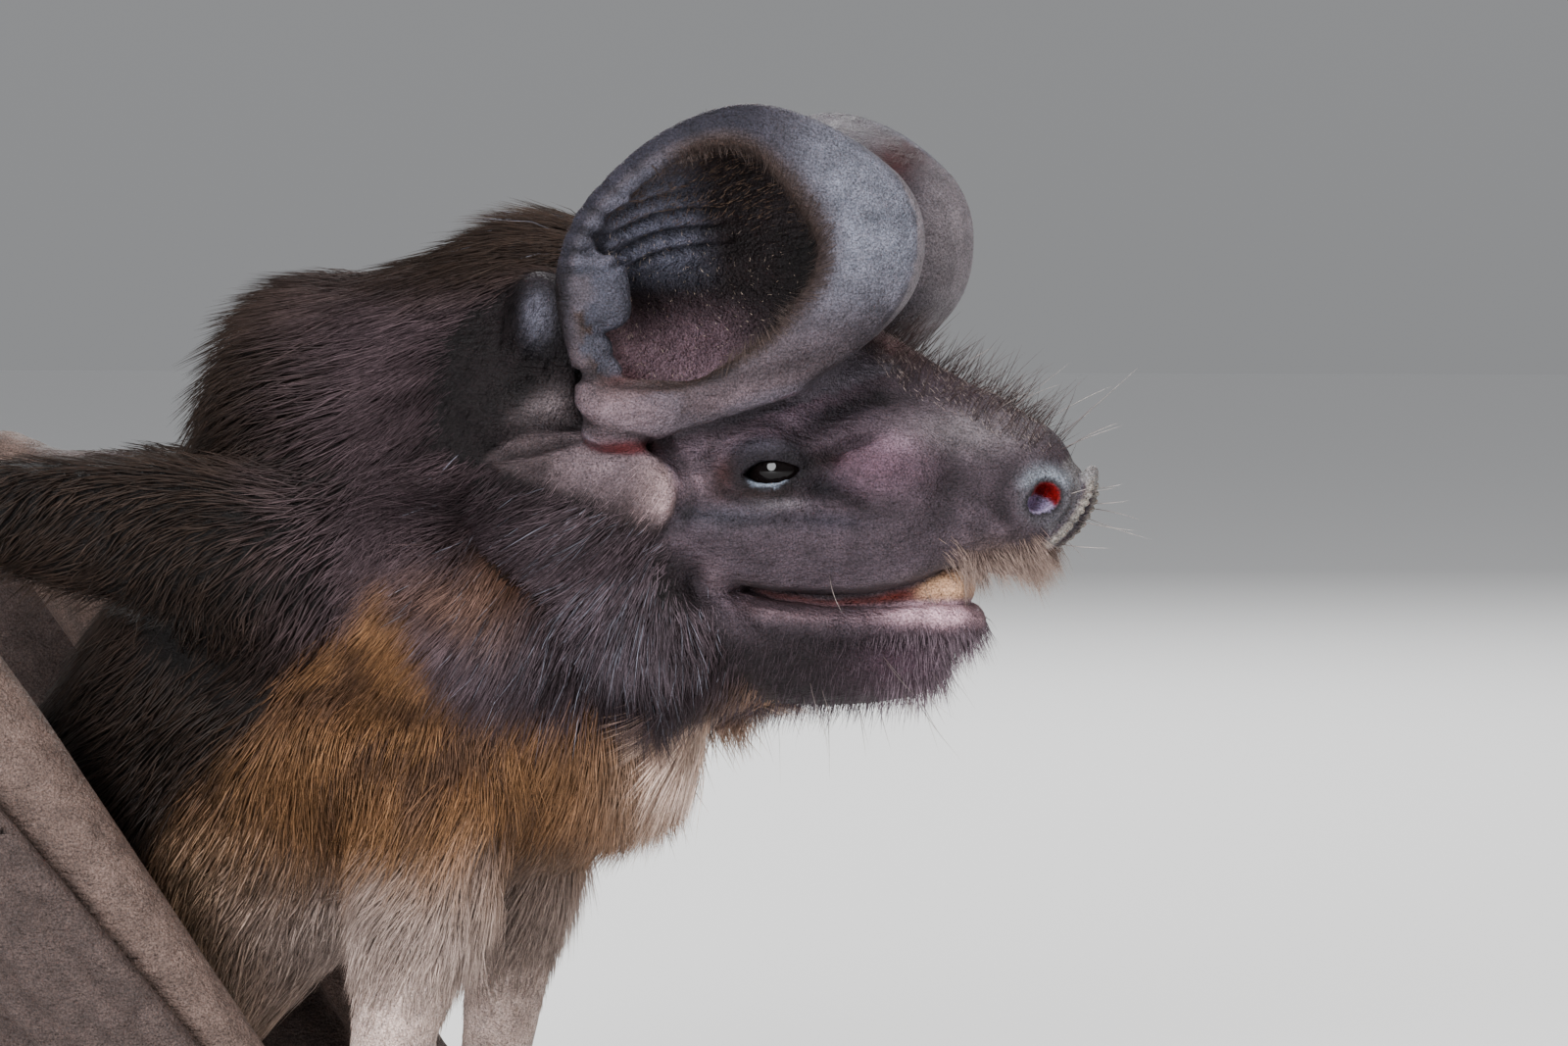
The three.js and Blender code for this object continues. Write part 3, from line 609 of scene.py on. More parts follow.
def plate(points, half, flat_axis):
    """A thin sheet of skin through a grid of places: a height field over the plane across `flat_axis`."""
    axes = [a for a in range(3) if a != flat_axis]
    flat = points.reshape(-1, 3)
    low, high = flat.min(axis=0) - 1.5, flat.max(axis=0) + 1.5
    step = 0.5
    size = [int((high[a] - low[a]) / step) + 2 for a in axes]
    height, weight = np.zeros(size, dtype=np.float32), np.zeros(size, dtype=np.float32)
    fine = denser(denser(points).transpose(1, 0, 2)).transpose(1, 0, 2).reshape(-1, 3)
    i, j = [((fine[:, a] - low[a]) / step + 0.5).astype(int) for a in axes]
    np.add.at(height, (i, j), fine[:, flat_axis])
    np.add.at(weight, (i, j), 1)
    inside = weight > 0
    height[inside] /= weight[inside]
    for _ in range(5):  # carries the sheet's height a little way past its edge
        known = weight > 0
        total, number = np.zeros_like(height), np.zeros_like(height)
        for di, dj in ((1, 0), (-1, 0), (0, 1), (0, -1), (1, 1), (-1, -1), (1, -1), (-1, 1)):
            total += shifted(np.where(known, height, 0), di, dj)
            number += shifted(known.astype(np.float32), di, dj)
        new = ~known & (number > 0)
        height[new] = total[new] / number[new]
        weight[new] = 1
    edge = np.where(inside, -step, step)
    for _ in range(3):
        edge = blurred(edge)
    height[weight == 0] = 1000  # far away, where there is no sheet
    for _ in range(2):
        soft = blurred(height)
        height = np.where((soft < 500) & (height < 500), soft, height)
    slopes = np.clip(np.gradient(height, step), -4, 4)
    lean = 1 / np.sqrt(1 + slopes[0] ** 2 + slopes[1] ** 2)

    def distance(x, y, z):
        places = (x, y, z)
        u, v = [np.clip((places[a] - low[a]) / step, 0, n - 1.001) for a, n in zip(axes, size)]
        iu, iv = u.astype(int), v.astype(int)
        fu, fv = u - iu, v - iv

        def read(table):
            near = table[iu, iv] * (1 - fu) * (1 - fv) + table[iu + 1, iv] * fu * (1 - fv)
            return near + table[iu, iv + 1] * (1 - fu) * fv + table[iu + 1, iv + 1] * fu * fv

        off = np.abs(places[flat_axis] - read(height)) * read(lean) - half
        return smooth_max(off, read(edge) * 1.6, 0.4)

    return distance


SHEET_HALF = 0.42  # half a membrane's thickness
wing_plate = plate(sheet_points(WING_TOP, WING_FOOT, wing_ripple), SHEET_HALF, 1)
tail_plate = plate(sheet_points(TAIL_EDGE, FOOT_EDGE, tail_ripple), SHEET_HALF, 2)


def box_of(points, margin):
    points = np.array(points)
    return points.min(axis=0) - margin, points.max(axis=0) + margin


def limb_pieces():
    """Every limb form with its blend, and the box it matters in."""
    fingers = box_of([at(*p) for p in FINGER_LINE], 6)
    pieces = [
        (upper_arm, 3.5, *box_of([SHOULDER, ELBOW], 9)),
        (forearm, 1.5, *box_of([WRIST, ELBOW], 5)),
        (palm, 1.2, *box_of([at(36.8, 13.6, 2.4), at(43.5, 15.6, 8)], 5.5)),
        (thumb_pad, 0.8, *box_of([at(38.5, 13.6, 1.3)], 4.5)),
        (thumb, 0.6, *box_of([at(37.5, 13.8, 2.1), at(28.9, 11.1, 1.4)], 3)),
        (arm_fold, 3.0, *box_of([at(37, 6, 33), at(40, 13, 9.5)], 7)),
        (thigh, 3.0, *box_of([HIP, KNEE], 7)),
        (shank, 1.5, *box_of([KNEE, ANKLE], 4)),
        (tail, 2.0, *box_of([at(74, 0, 8.6), at(122.7, 0, 1.3)], 5)),
        (melt(foot_forms, 0.8), 0.8, *box_of([at(85, 15, 1.6), at(91, 19, 1.4)], 4)),
        (wing_plate, 0.9, *box_of([*WING_TOP, *WING_FOOT], 4.5)),
        (tail_plate, 0.9, *box_of([*TAIL_EDGE, *FOOT_EDGE], 3)),
        (melt(finger_web, 0.8), 0.9, *fingers),
    ]
    pieces += [(bone, 0.35, *fingers) for bone in finger_bones]
    for i, toe, pad in zip(TOES, toe_forms, toe_pads):
        pieces.append((toe, 0.3, *box_of([toe_root(i), toe_tip(i)], 2.2)))
        pieces.append((pad, 0.2, *box_of([toe_tip(i)], 2)))
    return pieces


LIMBS = limb_pieces()
HEAD_BOX = (at(33.5, -3, 30), at(-2, 15, 71))


def within(low, high, x, y, z):
    return (x > low[0]) & (x < high[0]) & (y > low[1]) & (y < high[1]) & (z > low[2]) & (z < high[2])


def head_parts(x, y, z, d):
    """The head with its ears, flaps, eyes and nose."""
    d = grown(d, [(neck_bump, 2.4), (antitragus, 0.7)], x, y, z)
    d = grown(with_ear(x, y, z, d), ear_lobes, x, y, z)
    d = with_eye(x, y, z, d)
    pad = [(nose_wing, 0.7), (nostril_ring, 0.35), (nose_flange, 0.3), (nose_tip, 0.25)]
    pad = grown(nose_pad(x, y, z), pad + [(bead, 0.15) for bead in bead_forms], x, y, z)
    return smooth_max(smooth_min(d, pad, 0.35), -nostril_hole(x, y, z), 0.35)


def plain_body(x, y, z):
    """The animal without its folds and wrinkles: takes flat arrays, the left half only."""
    d = head_and_trunk(x, y, z)
    for form, blend, low, high in LIMBS:
        near = within(low, high, x, y, z)
        if near.any():
            d[near] = smooth_min(d[near], form(x[near], y[near], z[near]), blend)
    near = within(*HEAD_BOX, x, y, z)
    if near.any():
        d[near] = head_parts(x[near], y[near], z[near], d[near])
    flat = (z < 3) & ((x < x_at(80)) | (y > 8))  # what rests on the floor is flat beneath
    d[flat] = smooth_max(d[flat], 0.02 - z[flat], 0.15)
    return d


# ---------------------------------------------------------------- folds, wrinkles and swellings
# Each runs through points given by distance behind the nose tip and height, and lies on the skin's side:
# (points, half width, how far it stands out; below zero for a groove).
FOLDS = [
    ([(19.8, 48.2), (18.8, 49.0), (17.4, 49.3), (16.1, 49.0)], 0.62, 0.45),  # upper lid
    ([(19.6, 47.9), (18.6, 48.7), (17.3, 48.85), (16.0, 48.35)], 0.2, -0.18),
    ([(21.2, 47.9), (20.7, 49.4), (19.2, 50.35), (17.3, 50.5), (15.8, 50.0)], 0.38, -0.35),
    ([(16.0, 49.4), (15.1, 50.4), (13.9, 51.3), (12.3, 51.9), (10.6, 52.1)], 0.75, -0.55),  # over the snout
    ([(19.5, 52.8), (16.5, 53.6), (13.6, 54.6)], 0.5, -0.15),
    ([(19.6, 46.55), (18.4, 46.1), (17.0, 46.15), (15.9, 46.75)], 0.34, 0.22),
    ([(20.5, 51.0), (18.0, 51.9), (15.5, 52.6), (13.0, 53.4)], 0.8, 0.35),
    ([(22.5, 49.1), (20.0, 50.4), (17.5, 51.6)], 0.3, -0.15),
    ([(15.2, 48.3), (14.3, 48.7), (12.9, 49.2), (11.5, 49.7)], 0.42, -0.6),  # crease ahead of the eye
    ([(15.6, 47.3), (14.2, 46.8), (12.6, 46.1), (11.0, 45.7)], 0.7, -0.6),
    ([(14.6, 47.9), (13.4, 48.0), (12.2, 48.3)], 0.3, -0.3),
    ([(20.6, 46.9), (19.2, 46.15), (17.4, 46.0), (15.9, 46.7)], 0.3, -0.3),  # under the lower lid
    ([(20.9, 46.3), (18.9, 45.5), (17.0, 45.35), (15.6, 46.1)], 0.35, 0.1),
    ([(22.6, 45.7), (20.8, 45.1), (18.4, 44.8), (16.4, 45.0), (14.0, 44.9), (12.2, 44.4)], 0.3, -0.13),
    ([(22.4, 44.9), (19.5, 44.2), (16.5, 44.2), (13.5, 43.9)], 0.6, 0.1),
    ([(22.9, 48.0), (22.0, 47.9), (21.0, 47.8)], 0.2, -0.15),
    ([(22.9, 47.4), (22.0, 47.3), (21.0, 47.3)], 0.5, 0.2),
    ([(12.4, 47.8), (10.9, 48.4), (10.0, 48.8)], 1.5, 0.95),  # the reddish swelling of the cheek
    ([(8.0, 50.0), (7.7, 47.8), (8.2, 45.4), (9.1, 43.4)], 0.95, -0.24),
    ([(6.9, 48.6), (6.8, 48.6)], 0.35, 0.22),
    ([(6.9, 44.0), (6.8, 44.0)], 0.4, 0.25),
    ([(5.2, 44.4), (4.6, 44.3)], 0.45, 0.25),
    ([(10.6, 41.6), (10.1, 41.9)], 0.4, 0.3),
    ([(4.4, 47.6), (4.9, 46.6), (4.7, 45.3), (4.0, 44.2)], 0.45, -0.4),  # behind the nose pad
    ([(19.2, 41.8), (16.0, 41.25), (12.5, 41.35), (9.5, 41.9), (6.5, 43.0)], 0.5, 0.16),  # upper lip
    ([(18.6, 39.7), (15.5, 39.2), (12.5, 39.2), (9.5, 39.4), (7.4, 39.5)], 0.42, 0.16),  # lower lip
    ([(12.0, 39.2), (9.8, 39.3), (7.6, 39.3)], 0.75, 0.26),
    ([(8.6, 39.3), (7.8, 39.3)], 0.7, 0.2),  # its knob in front
    ([(19.3, 39.4), (17.4, 38.3), (14.4, 37.7), (11.7, 37.8), (8.7, 38.0)], 0.45, -0.3),
    ([(20.5, 42.4), (21.0, 41.3), (20.5, 40.2), (19.5, 39.2)], 0.45, 0.3),  # round the corner of the mouth
    ([(21.7, 42.6), (22.2, 41.2), (21.6, 39.6)], 0.4, -0.25),
    ([(22.2, 44.4), (23.1, 43.6), (24.2, 43.3)], 0.6, 0.25),
    ([(25.3, 49.9), (23.6, 49.2), (22.2, 47.6), (21.95, 45.9), (22.5, 44.4)], 0.36, -0.6),
    ([(24.9, 48.9), (23.5, 48.0), (22.9, 46.6), (23.2, 45.2)], 0.55, 0.3),
    ([(28.4, 49.7), (30.6, 49.1), (32.6, 48.6), (33.4, 48.9)], 0.42, -0.6),  # the fold behind the antitragus
    ([(28.6, 48.5), (30.5, 47.8), (32.3, 47.6)], 0.7, 0.35),
    ([(29.2, 53.6), (30.0, 52.0), (31.4, 50.7), (33.6, 49.8)], 0.75, 0.6),  # from the ear to the neck
    ([(31.3, 53.6), (32.2, 52.3), (33.8, 51.4)], 0.7, -0.5),
    ([(26.6, 50.0), (27.9, 50.6), (28.5, 51.6), (28.7, 53.4)], 0.5, -0.9),  # the dark gap behind the ear
    ([(12.6, 55.6), (11.0, 55.0), (9.8, 54.2)], 0.5, -0.3),
    ([(11.6, 53.9), (10.3, 53.0), (9.2, 51.8)], 0.4, -0.2),
]
EAR_RIDGES = [
    ([(26.3, 59.6), (24.9, 60.5), (23.2, 61.0), (21.0, 61.2)], 0.27, 0.75),
    ([(26.6, 60.7), (25.0, 61.6), (23.2, 62.05), (20.8, 62.1)], 0.27, 0.8),
    ([(26.2, 61.8), (24.8, 62.6), (23.2, 63.1), (21.2, 63.1)], 0.27, 0.7),
    ([(26.2, 58.7), (25.0, 59.5), (23.6, 59.9), (22.0, 60.1)], 0.26, 0.35),
    ([(25.6, 62.9), (24.4, 63.6), (22.9, 64.1)], 0.26, 0.4),
    ([(26.2, 60.15), (24.9, 61.05), (23.2, 61.5), (21.0, 61.65)], 0.24, -0.45),
    ([(26.3, 61.25), (24.9, 62.1), (23.2, 62.6), (21.2, 62.6)], 0.24, -0.45),
    ([(26.0, 59.1), (24.9, 60.0), (23.4, 60.4), (21.8, 60.6)], 0.22, -0.35),
    ([(25.9, 62.4), (24.6, 63.15), (23.2, 63.6)], 0.22, -0.35),
    ([(26.0, 52.9), (24.0, 52.7), (21.5, 52.9), (19.0, 53.8)], 0.4, -0.35),  # over the lower lobe
    ([(27.6, 56.3), (26.6, 56.1), (25.9, 56.5)], 0.2, -0.35),
    ([(28.6, 53.4), (27.4, 53.2), (26.2, 53.5)], 0.36, -0.7),
    ([(28.7, 59.0), (27.2, 59.3)], 0.24, -0.4),
    ([(28.5, 60.3), (26.9, 60.2)], 0.24, -0.4),
    ([(28.1, 61.6), (26.5, 61.1)], 0.24, -0.4),
    ([(27.4, 62.9), (26.0, 62.2)], 0.24, -0.35),
    ([(26.3, 64.1), (25.0, 63.3)], 0.24, -0.3),
    ([(24.9, 65.3), (23.9, 64.4)], 0.24, -0.25),
]


def skin_side(points):
    """Where lines across the animal, given by x and height, first meet the skin from its left."""
    steps = np.arange(16, 0, -0.12, dtype=np.float32)
    x = np.repeat(points[:, 0], len(steps))
    z = np.repeat(points[:, 1], len(steps))
    y = np.tile(steps, len(points))
    values = plain_body(x.astype(np.float32), y, z.astype(np.float32)).reshape(len(points), len(steps))
    first = np.argmax(values < 0, axis=1)
    return steps[first]


def lay_folds():
    """Each fold's places on the skin, its width and height, and the box it matters in."""
    laid = []
    for points, width, height in FOLDS + EAR_RIDGES:
        row = np.array([[NOSE_X - b, h] for b, h in points])
        row = spread(max(6, int(3 * np.linalg.norm(row[-1] - row[0]) / (width + 0.3))), row)
        places = np.stack([row[:, 0], skin_side(row), row[:, 1]], axis=1).astype(np.float32)
        laid.append((places, width, height, *box_of(places, 2.6 * width)))
    return laid


LAID_FOLDS = lay_folds()


def relief(x, y, z):
    """How far the folds stand out at each place, for flat arrays of the left half."""
    out = np.zeros(len(x), dtype=np.float32)
    for places, width, height, low, high in LAID_FOLDS:
        near = np.nonzero(within(low, high, x, y, z))[0]
        if len(near):
            px, py, pz = x[near], y[near], z[near]
            closest = chain(places, np.zeros(len(places)))(px, py, pz)
            ends = [np.sqrt((px - end[0]) ** 2 + (pz - end[2]) ** 2) for end in (places[0], places[-1])]
            taper = 0.35 + 0.65 * ramp(np.minimum(*ends), 0, 2.5 * width) if len(places) > 6 else 1.0
            out[near] += height * np.exp(-((closest / width) ** 2)) * taper
    return out + crinkles(x, y, z)


def crinkles(x, y, z):
    """The fine unevenness of the face's skin, strongest below and ahead of the eye."""
    back = NOSE_X - x
    near = np.nonzero((back < 26) & (z > 36.5) & (z < 56) & (y > 1.5))[0]
    out = np.zeros(len(x), dtype=np.float32)
    if len(near):
        back, z = back[near], z[near]
        places = np.stack([x[near], y[near], z], axis=1)
        rough = 0.012 + 0.05 * spot(x[near], 0, z, at(14.5, 0, 45.6), (3.2, 1, 1.6))
        rough += 0.03 * spot(x[near], 0, z, at(16.5, 0, 51.0), (4.5, 1, 1.6))
        rough += 0.025 * spot(x[near], 0, z, at(20.5, 0, 45.2), (3.0, 1, 0.9))
        rough *= ramp(back, 5, 6.5) * fall(back, 23, 26)
        out[near] = rough * waves(places * np.array([0.8, 1, 1.25]), 0.115, 61)
    return out


def body(x, y, z):
    """The whole skin's distance field over flat arrays; y may be either side's."""
    x, y, z = (np.asarray(v, dtype=np.float32) for v in (x, np.abs(y), z))
    return plain_body(x, y, z) - relief(x, y, z)


# ---------------------------------------------------------------- the skin's mesh
def grid_lines(low, high, spans, coarse):
    """Grid lines from low to high, spaced by the first span (from, to, spacing) that holds each of them."""
    lines = [low]
    while lines[-1] < high:
        here = lines[-1]
        step = next((s for a, b, s in spans if a <= here < b), coarse)
        previous = lines[-1] - lines[-2] if len(lines) > 1 else step
        lines.append(here + min(max(step, previous / 1.25), previous * 1.25))
    return np.array(lines, dtype=np.float32)


FINE = 0.26  # the spacing over the head: closer still at the eye and the nose
FINE_BACK = [(100, 84, 0.42), (46, 34, 0.42), (20.3, 15, 0.15), (5, 0.3, 0.17), (34, -2, FINE)]
GRID_X = grid_lines(-62.5, 63, [(NOSE_X - a, NOSE_X - b, step) for a, b, step in FINE_BACK], 0.7)
GRID_Y = np.concatenate([[-FINE / 2], grid_lines(FINE / 2, 26, [(0, 13.8, FINE)], 0.4)]).astype(np.float32)
GRID_Z = grid_lines(-0.6, 70, [(-1, 6, 0.36), (45.2, 49.6, 0.16), (33, 69, FINE)], 0.6)


BLOCK = 4  # grid cells to a block
CHUNK = 400000  # grid points worked out at once


def block_spans(f):
    """The first and last line of every block along one axis, its centre and half its length."""
    starts = np.arange(0, len(f) - 1, BLOCK)
    ends = np.minimum(starts + BLOCK, len(f) - 1)
    return starts, ends, (f[starts] + f[ends]) / 2, (f[ends] - f[starts]) / 2


def surface_net(*lines):
    """The zero surface of body() over the grid, which is worked out only in the blocks near it."""
    shape = tuple(len(f) for f in lines)
    (sx, ex, cx, hx), (sy, ey, cy, hy), (sz, ez, cz, hz) = (block_spans(f) for f in lines)
    centres = (m.ravel() for m in np.meshgrid(cx, cy, cz, indexing="ij"))
    radius = np.sqrt(sum(m**2 for m in np.meshgrid(hx, hy, hz, indexing="ij"))).ravel()
    middle = body(*centres)
    active = (np.abs(middle) < radius * 1.35 + 0.9).reshape(len(cx), len(cy), len(cz))
    signs = np.where(middle < 0, -9, 9).reshape(active.shape)
    owner = [np.minimum(np.arange(n) // BLOCK, m - 1) for n, m in zip(shape, active.shape)]
    values = signs[np.ix_(*owner)].astype(np.float32)
    known = np.zeros(shape, dtype=bool)
    for i, j, k in zip(*np.nonzero(active)):
        known[sx[i] : ex[i] + 1, sy[j] : ey[j] + 1, sz[k] : ez[k] + 1] = True
    index = np.nonzero(known)
    points = [f[i] for f, i in zip(lines, index)]
    chunks = [body(*(p[s : s + CHUNK] for p in points)) for s in range(0, len(points[0]), CHUNK)]
    values[index] = np.concatenate(chunks)
    return net_of(values, lines)


def net_of(values, lines):
    """Places, quads and every place's row across the animal: a place in each cell the surface crosses."""
    low = values < 0
    cells_shape = tuple(n - 1 for n in values.shape)
    total = np.zeros((*cells_shape, 3), dtype=np.float32)
    number = np.zeros(cells_shape, dtype=np.float32)
    quads = []
    for axis, line in enumerate(lines):
        a, b = [slice(None)] * 3, [slice(None)] * 3
        a[axis], b[axis] = slice(0, -1), slice(1, None)
        index = np.array(np.nonzero(low[tuple(a)] != low[tuple(b)]))
        va, vb = values[tuple(a)][tuple(index)], values[tuple(b)][tuple(index)]
        place = np.stack([lines[m][index[m]] for m in range(3)], axis=1)
        place[:, axis] += va / (va - vb) * (line[index[axis] + 1] - line[index[axis]])
        others = [m for m in range(3) if m != axis]
        cells, held = [], []
        for step in ((0, 0), (-1, 0), (-1, -1), (0, -1)):
            cell = index.copy()
            cell[others] += np.array(step)[:, None]
            ok = np.all([(cell[m] >= 0) & (cell[m] < cells_shape[m]) for m in range(3)], axis=0)
            np.add.at(total, tuple(cell[:, ok]), place[ok])
            np.add.at(number, tuple(cell[:, ok]), 1)
            cells.append(cell)
            held.append(ok)
        quads.append((cells, np.all(held, axis=0), (va < 0) != (axis == 1)))
    used = number > 0
    ids = np.full(number.shape, -1, dtype=np.int64)
    ids[used] = np.arange(int(used.sum()))
    faces = []
    for cells, valid, flip in quads:
        rows = np.stack([ids[tuple(cell[:, valid])] for cell in cells], axis=1)
        rows[~flip[valid]] = rows[~flip[valid]][:, ::-1]
        faces.append(rows)
    return total[used] / number[used][:, None], np.concatenate(faces), np.nonzero(used)[1]


def slope(places):
    """How fast body() grows along each axis."""
    step = 0.06
    x, y, z = places.T
    across = [
        body(x + step, y, z) - body(x - step, y, z),
        body(x, y + step, z) - body(x, y - step, z),
        body(x, y, z + step) - body(x, y, z - step),
    ]
    return np.stack(across, axis=1) / (2 * step)


def settle(places):
    """Moves places on to the skin."""
    for _ in range(2):
        value = body(*places.T)
        g = slope(places)
        square = np.maximum((g * g).sum(axis=1), 0.25)
        places = places - np.clip(value / square, -0.25, 0.25)[:, None] * g
    return places


def make_skin():
    """The skin's places and quads: the left half, closed on the middle plane, and its mirror image."""
    places, faces, row = surface_net(GRID_X, GRID_Y, GRID_Z)
    middle = row == 0
    places[middle, 1] = 0
    places = settle(places).astype(np.float32)
    places[middle, 1] = 0
    places[:, 2] = np.maximum(places[:, 2], 0.02)
    other = np.arange(len(places))
    other[~middle] = len(places) + np.arange(int((~middle).sum()))
    mirrored = places[~middle] * np.array([1, -1, 1], dtype=np.float32)
    return np.concatenate([places, mirrored]), np.concatenate([faces, other[faces][:, ::-1]])


def paint(mesh, colours):
    """Stores a colour for every vertex, for the materials to read."""
    layer = mesh.color_attributes.new("tint", "FLOAT_COLOR", "POINT")
    solid = np.hstack([colours, np.ones((len(colours), 1))])
    layer.data.foreach_set("color", solid.astype(np.float32).ravel())


def mesh_from(name, places, faces, colours=None):
    """An object from places in millimetres and rows of corners."""
    mesh = bpy.data.meshes.new(name)
    corners = faces.shape[1]
    mesh.vertices.add(len(places))
    mesh.vertices.foreach_set("co", (places * MM).astype(np.float32).ravel())
    mesh.loops.add(faces.size)
    mesh.loops.foreach_set("vertex_index", faces.astype(np.int32).ravel())
    mesh.polygons.add(len(faces))
    mesh.polygons.foreach_set("loop_start", np.arange(0, faces.size, corners, dtype=np.int32))
    mesh.update(calc_edges=True)
    mesh.polygons.foreach_set("use_smooth", np.ones(len(faces), dtype=bool))
    if colours is not None:
        paint(mesh, colours)
    return link(bpy.data.objects.new(name, mesh))


# ---------------------------------------------------------------- markings, painted shade and painted highlights
def tone(red, green, blue):
    """A colour given as it is seen on a screen, 0 to 255, as the linear one the shaders use."""
    c = np.array([red, green, blue]) / 255
    return np.where(c <= 0.04045, c / 12.92, ((c + 0.055) / 1.055) ** 2.4)


def mix(a, b, t):
    t = np.asarray(t)[..., None]
    return a * (1 - t) + b * t


def spot(x, y, z, centre, radii):
    """1 at a place, falling off to 0 all round it."""
    return np.exp(-sum(((v - c) / r) ** 2 for v, c, r in zip((x, y, z), centre, radii)))


AXIS_BACK = [20, 26, 33, 46.5, 60, 76, 90]
AXIS_HEIGHT = [47, 46, 44.6, 33, 20.5, 7.6, 3]


def above_axis(x, z):
    """How high a place lies over the middle line of the trunk."""
    return z - np.interp(NOSE_X - x, AXIS_BACK, AXIS_HEIGHT)


def waves(places, size, seed):
    """A smooth wandering value for every place, mostly within -1 and 1; its waves are about 6 sizes long."""
    rng = np.random.default_rng(seed)
    total = np.zeros(len(places))
    for _ in range(6):
        way = rng.normal(size=3)
        way *= rng.uniform(0.7, 1.5) / (size * np.linalg.norm(way))
        total += np.sin(places @ way + rng.uniform(0, 6.28))
    return total / 2.6


def sway(places, size, seed):
    """Wandering ways, one for every place."""
    return np.stack([waves(places, size, seed + k) for k in range(3)], axis=1)


SKIN_GAIN, ROOT_GAIN, TIP_GAIN = 0.45, 0.4, 0.55  # how light the skin and the hair's two ends are
DARK_FUR, NECK_TIP = tone(42, 29, 31), tone(112, 93, 98)
SHEEN_STREAK = tone(176, 178, 194)
BACK_FUR, NAPE_TIP = tone(38, 27, 23), tone(112, 90, 77)
CHEST_FUR, CHEST_TIP = tone(104, 66, 40), tone(180, 134, 94)
THROAT_FUR = tone(188, 158, 138)
PALE_FUR = tone(206, 182, 170)
BELLY_FUR = tone(128, 98, 76)
ORANGE_BACK = [23, 30, 33, 37.5, 44, 60]
ORANGE_HEIGHT = [35.6, 34.6, 35.4, 42, 37, 22]


def whorl(x, z):
    """1 at the whorl of long fur behind the corner of the mouth, falling to 0 about it."""
    return spot(x, 0, z, at(26.5, 0, 40.5), (6.0, 1, 4.8)) * ramp(z, 34.5, 37)


def fur_colours(places, rng=None):
    """The coat's colour at its roots and tips for places on the skin. With rng each lock has its own."""
    x, y, z = places[:, 0], np.abs(places[:, 1]), places[:, 2]
    back = NOSE_X - x
    wander = waves(places, 1.6, 11)
    high = above_axis(x, z)
    base = np.tile(BACK_FUR, (len(places), 1))
    tips = np.tile(NAPE_TIP * 0.3, (len(places), 1))
    neck = ramp(z, 32, 35) * fall(z, 56, 60) * fall(back, 38, 48)
    base, tips = mix(base, DARK_FUR, neck), mix(tips, NECK_TIP, neck)
    brown_patch = spot(x, y, z, at(33.5, 9, 41.8), (4.0, 6, 1.7)) * 0.9
    base, tips = mix(base, tone(88, 56, 34), brown_patch), mix(tips, tone(148, 108, 78), brown_patch)
    tips = mix(tips, tone(150, 138, 150), whorl(x, z) * 0.5)
    # Painted light: the coat paler by the flap's lower edge, to offset the shade there.
    by_flap = spot(x, 0, z, at(26.0, 0, 43.4), (3.8, 1, 1.7)) * 0.4
    base, tips = mix(base, tone(92, 74, 80), by_flap), mix(tips, tone(158, 134, 142), by_flap)
    shadows = [((25, 6, 36.9), (8, 9, 1.5)), ((34, 9, 46.2), (6, 8, 2.2)), ((34, 9, 53), (4, 9, 4.5))]
    dark = np.max([spot(x, y, z, at(*place), radii) for place, radii in shadows], axis=0)
    base, tips = mix(base, tone(20, 12, 14), dark * 0.95), mix(tips, tone(40, 27, 31), dark * 0.92)
    # Painted highlight: the tips paler along the top of the nape.
    tips = mix(tips, NAPE_TIP, ramp(z, 60.5, 65))
    line = np.interp(back, ORANGE_BACK, ORANGE_HEIGHT) + 1.0 * wander
    orange = fall(z, line - 2.0, line + 0.6) * (1 - ramp(high, -4, 3) * ramp(back, 40, 50))
    base, tips = mix(base, CHEST_FUR, orange), mix(tips, CHEST_TIP, orange)
    blotches = ramp(waves(places, 0.9, 17), 0.2, 1.1) * orange * 0.7
    base, tips = mix(base, tone(62, 44, 38), blotches), mix(tips, tone(116, 88, 74), blotches)
    throat = spot(x, y, z, at(22.6, 0, 32.4), (3.6, 9, 3.4)) * orange
    base, tips = mix(base, THROAT_FUR * 1.9, throat), mix(tips, tone(255, 228, 214) * 1.65, throat)
    pale = fall(z, 22.5, 30 + wander) * fall(back, 44, 56)
    base, tips = mix(base, PALE_FUR * 0.8, pale), mix(tips, PALE_FUR * 1.25, pale)
    belly = ramp(-high, -1, 5) * ramp(back, 44, 54)
    base, tips = mix(base, BELLY_FUR, belly), mix(tips, tone(176, 146, 118), belly)
    shade = (1 + 0.2 * waves(places, 0.5, 5))[:, None]
    tip_shade = (1 + 0.3 * waves(places, 0.35, 6))[:, None]
    if rng is not None:
        shade = shade * rng.uniform(0.75, 1.25, (len(places), 1))
        tip_shade = tip_shade * rng.uniform(0.55, 1.45, (len(places), 1))
        # Painted sheen: a share of the locks get pale bluish tips, in the whorl and along the top of the
        # nape.
        sheen_streaked = rng.random(len(places)) < 0.13 * whorl(x, z) + 0.07 * ramp(z, 60, 64)
        tips = mix(tips, SHEEN_STREAK, sheen_streaked * 0.75)
    return ROOT_GAIN * base * np.maximum(shade, 0.4), TIP_GAIN * tips * np.maximum(tip_shade, 0.35)


FACE_SKIN = tone(72, 60, 67)
EAR_SKIN, EAR_HOLLOW_SHADE = tone(92, 86, 94), tone(26, 18, 18)
WING_SKIN, ARM_SKIN = tone(84, 70, 66), tone(118, 98, 90)
FOLD_SKIN = tone(232, 204, 192)
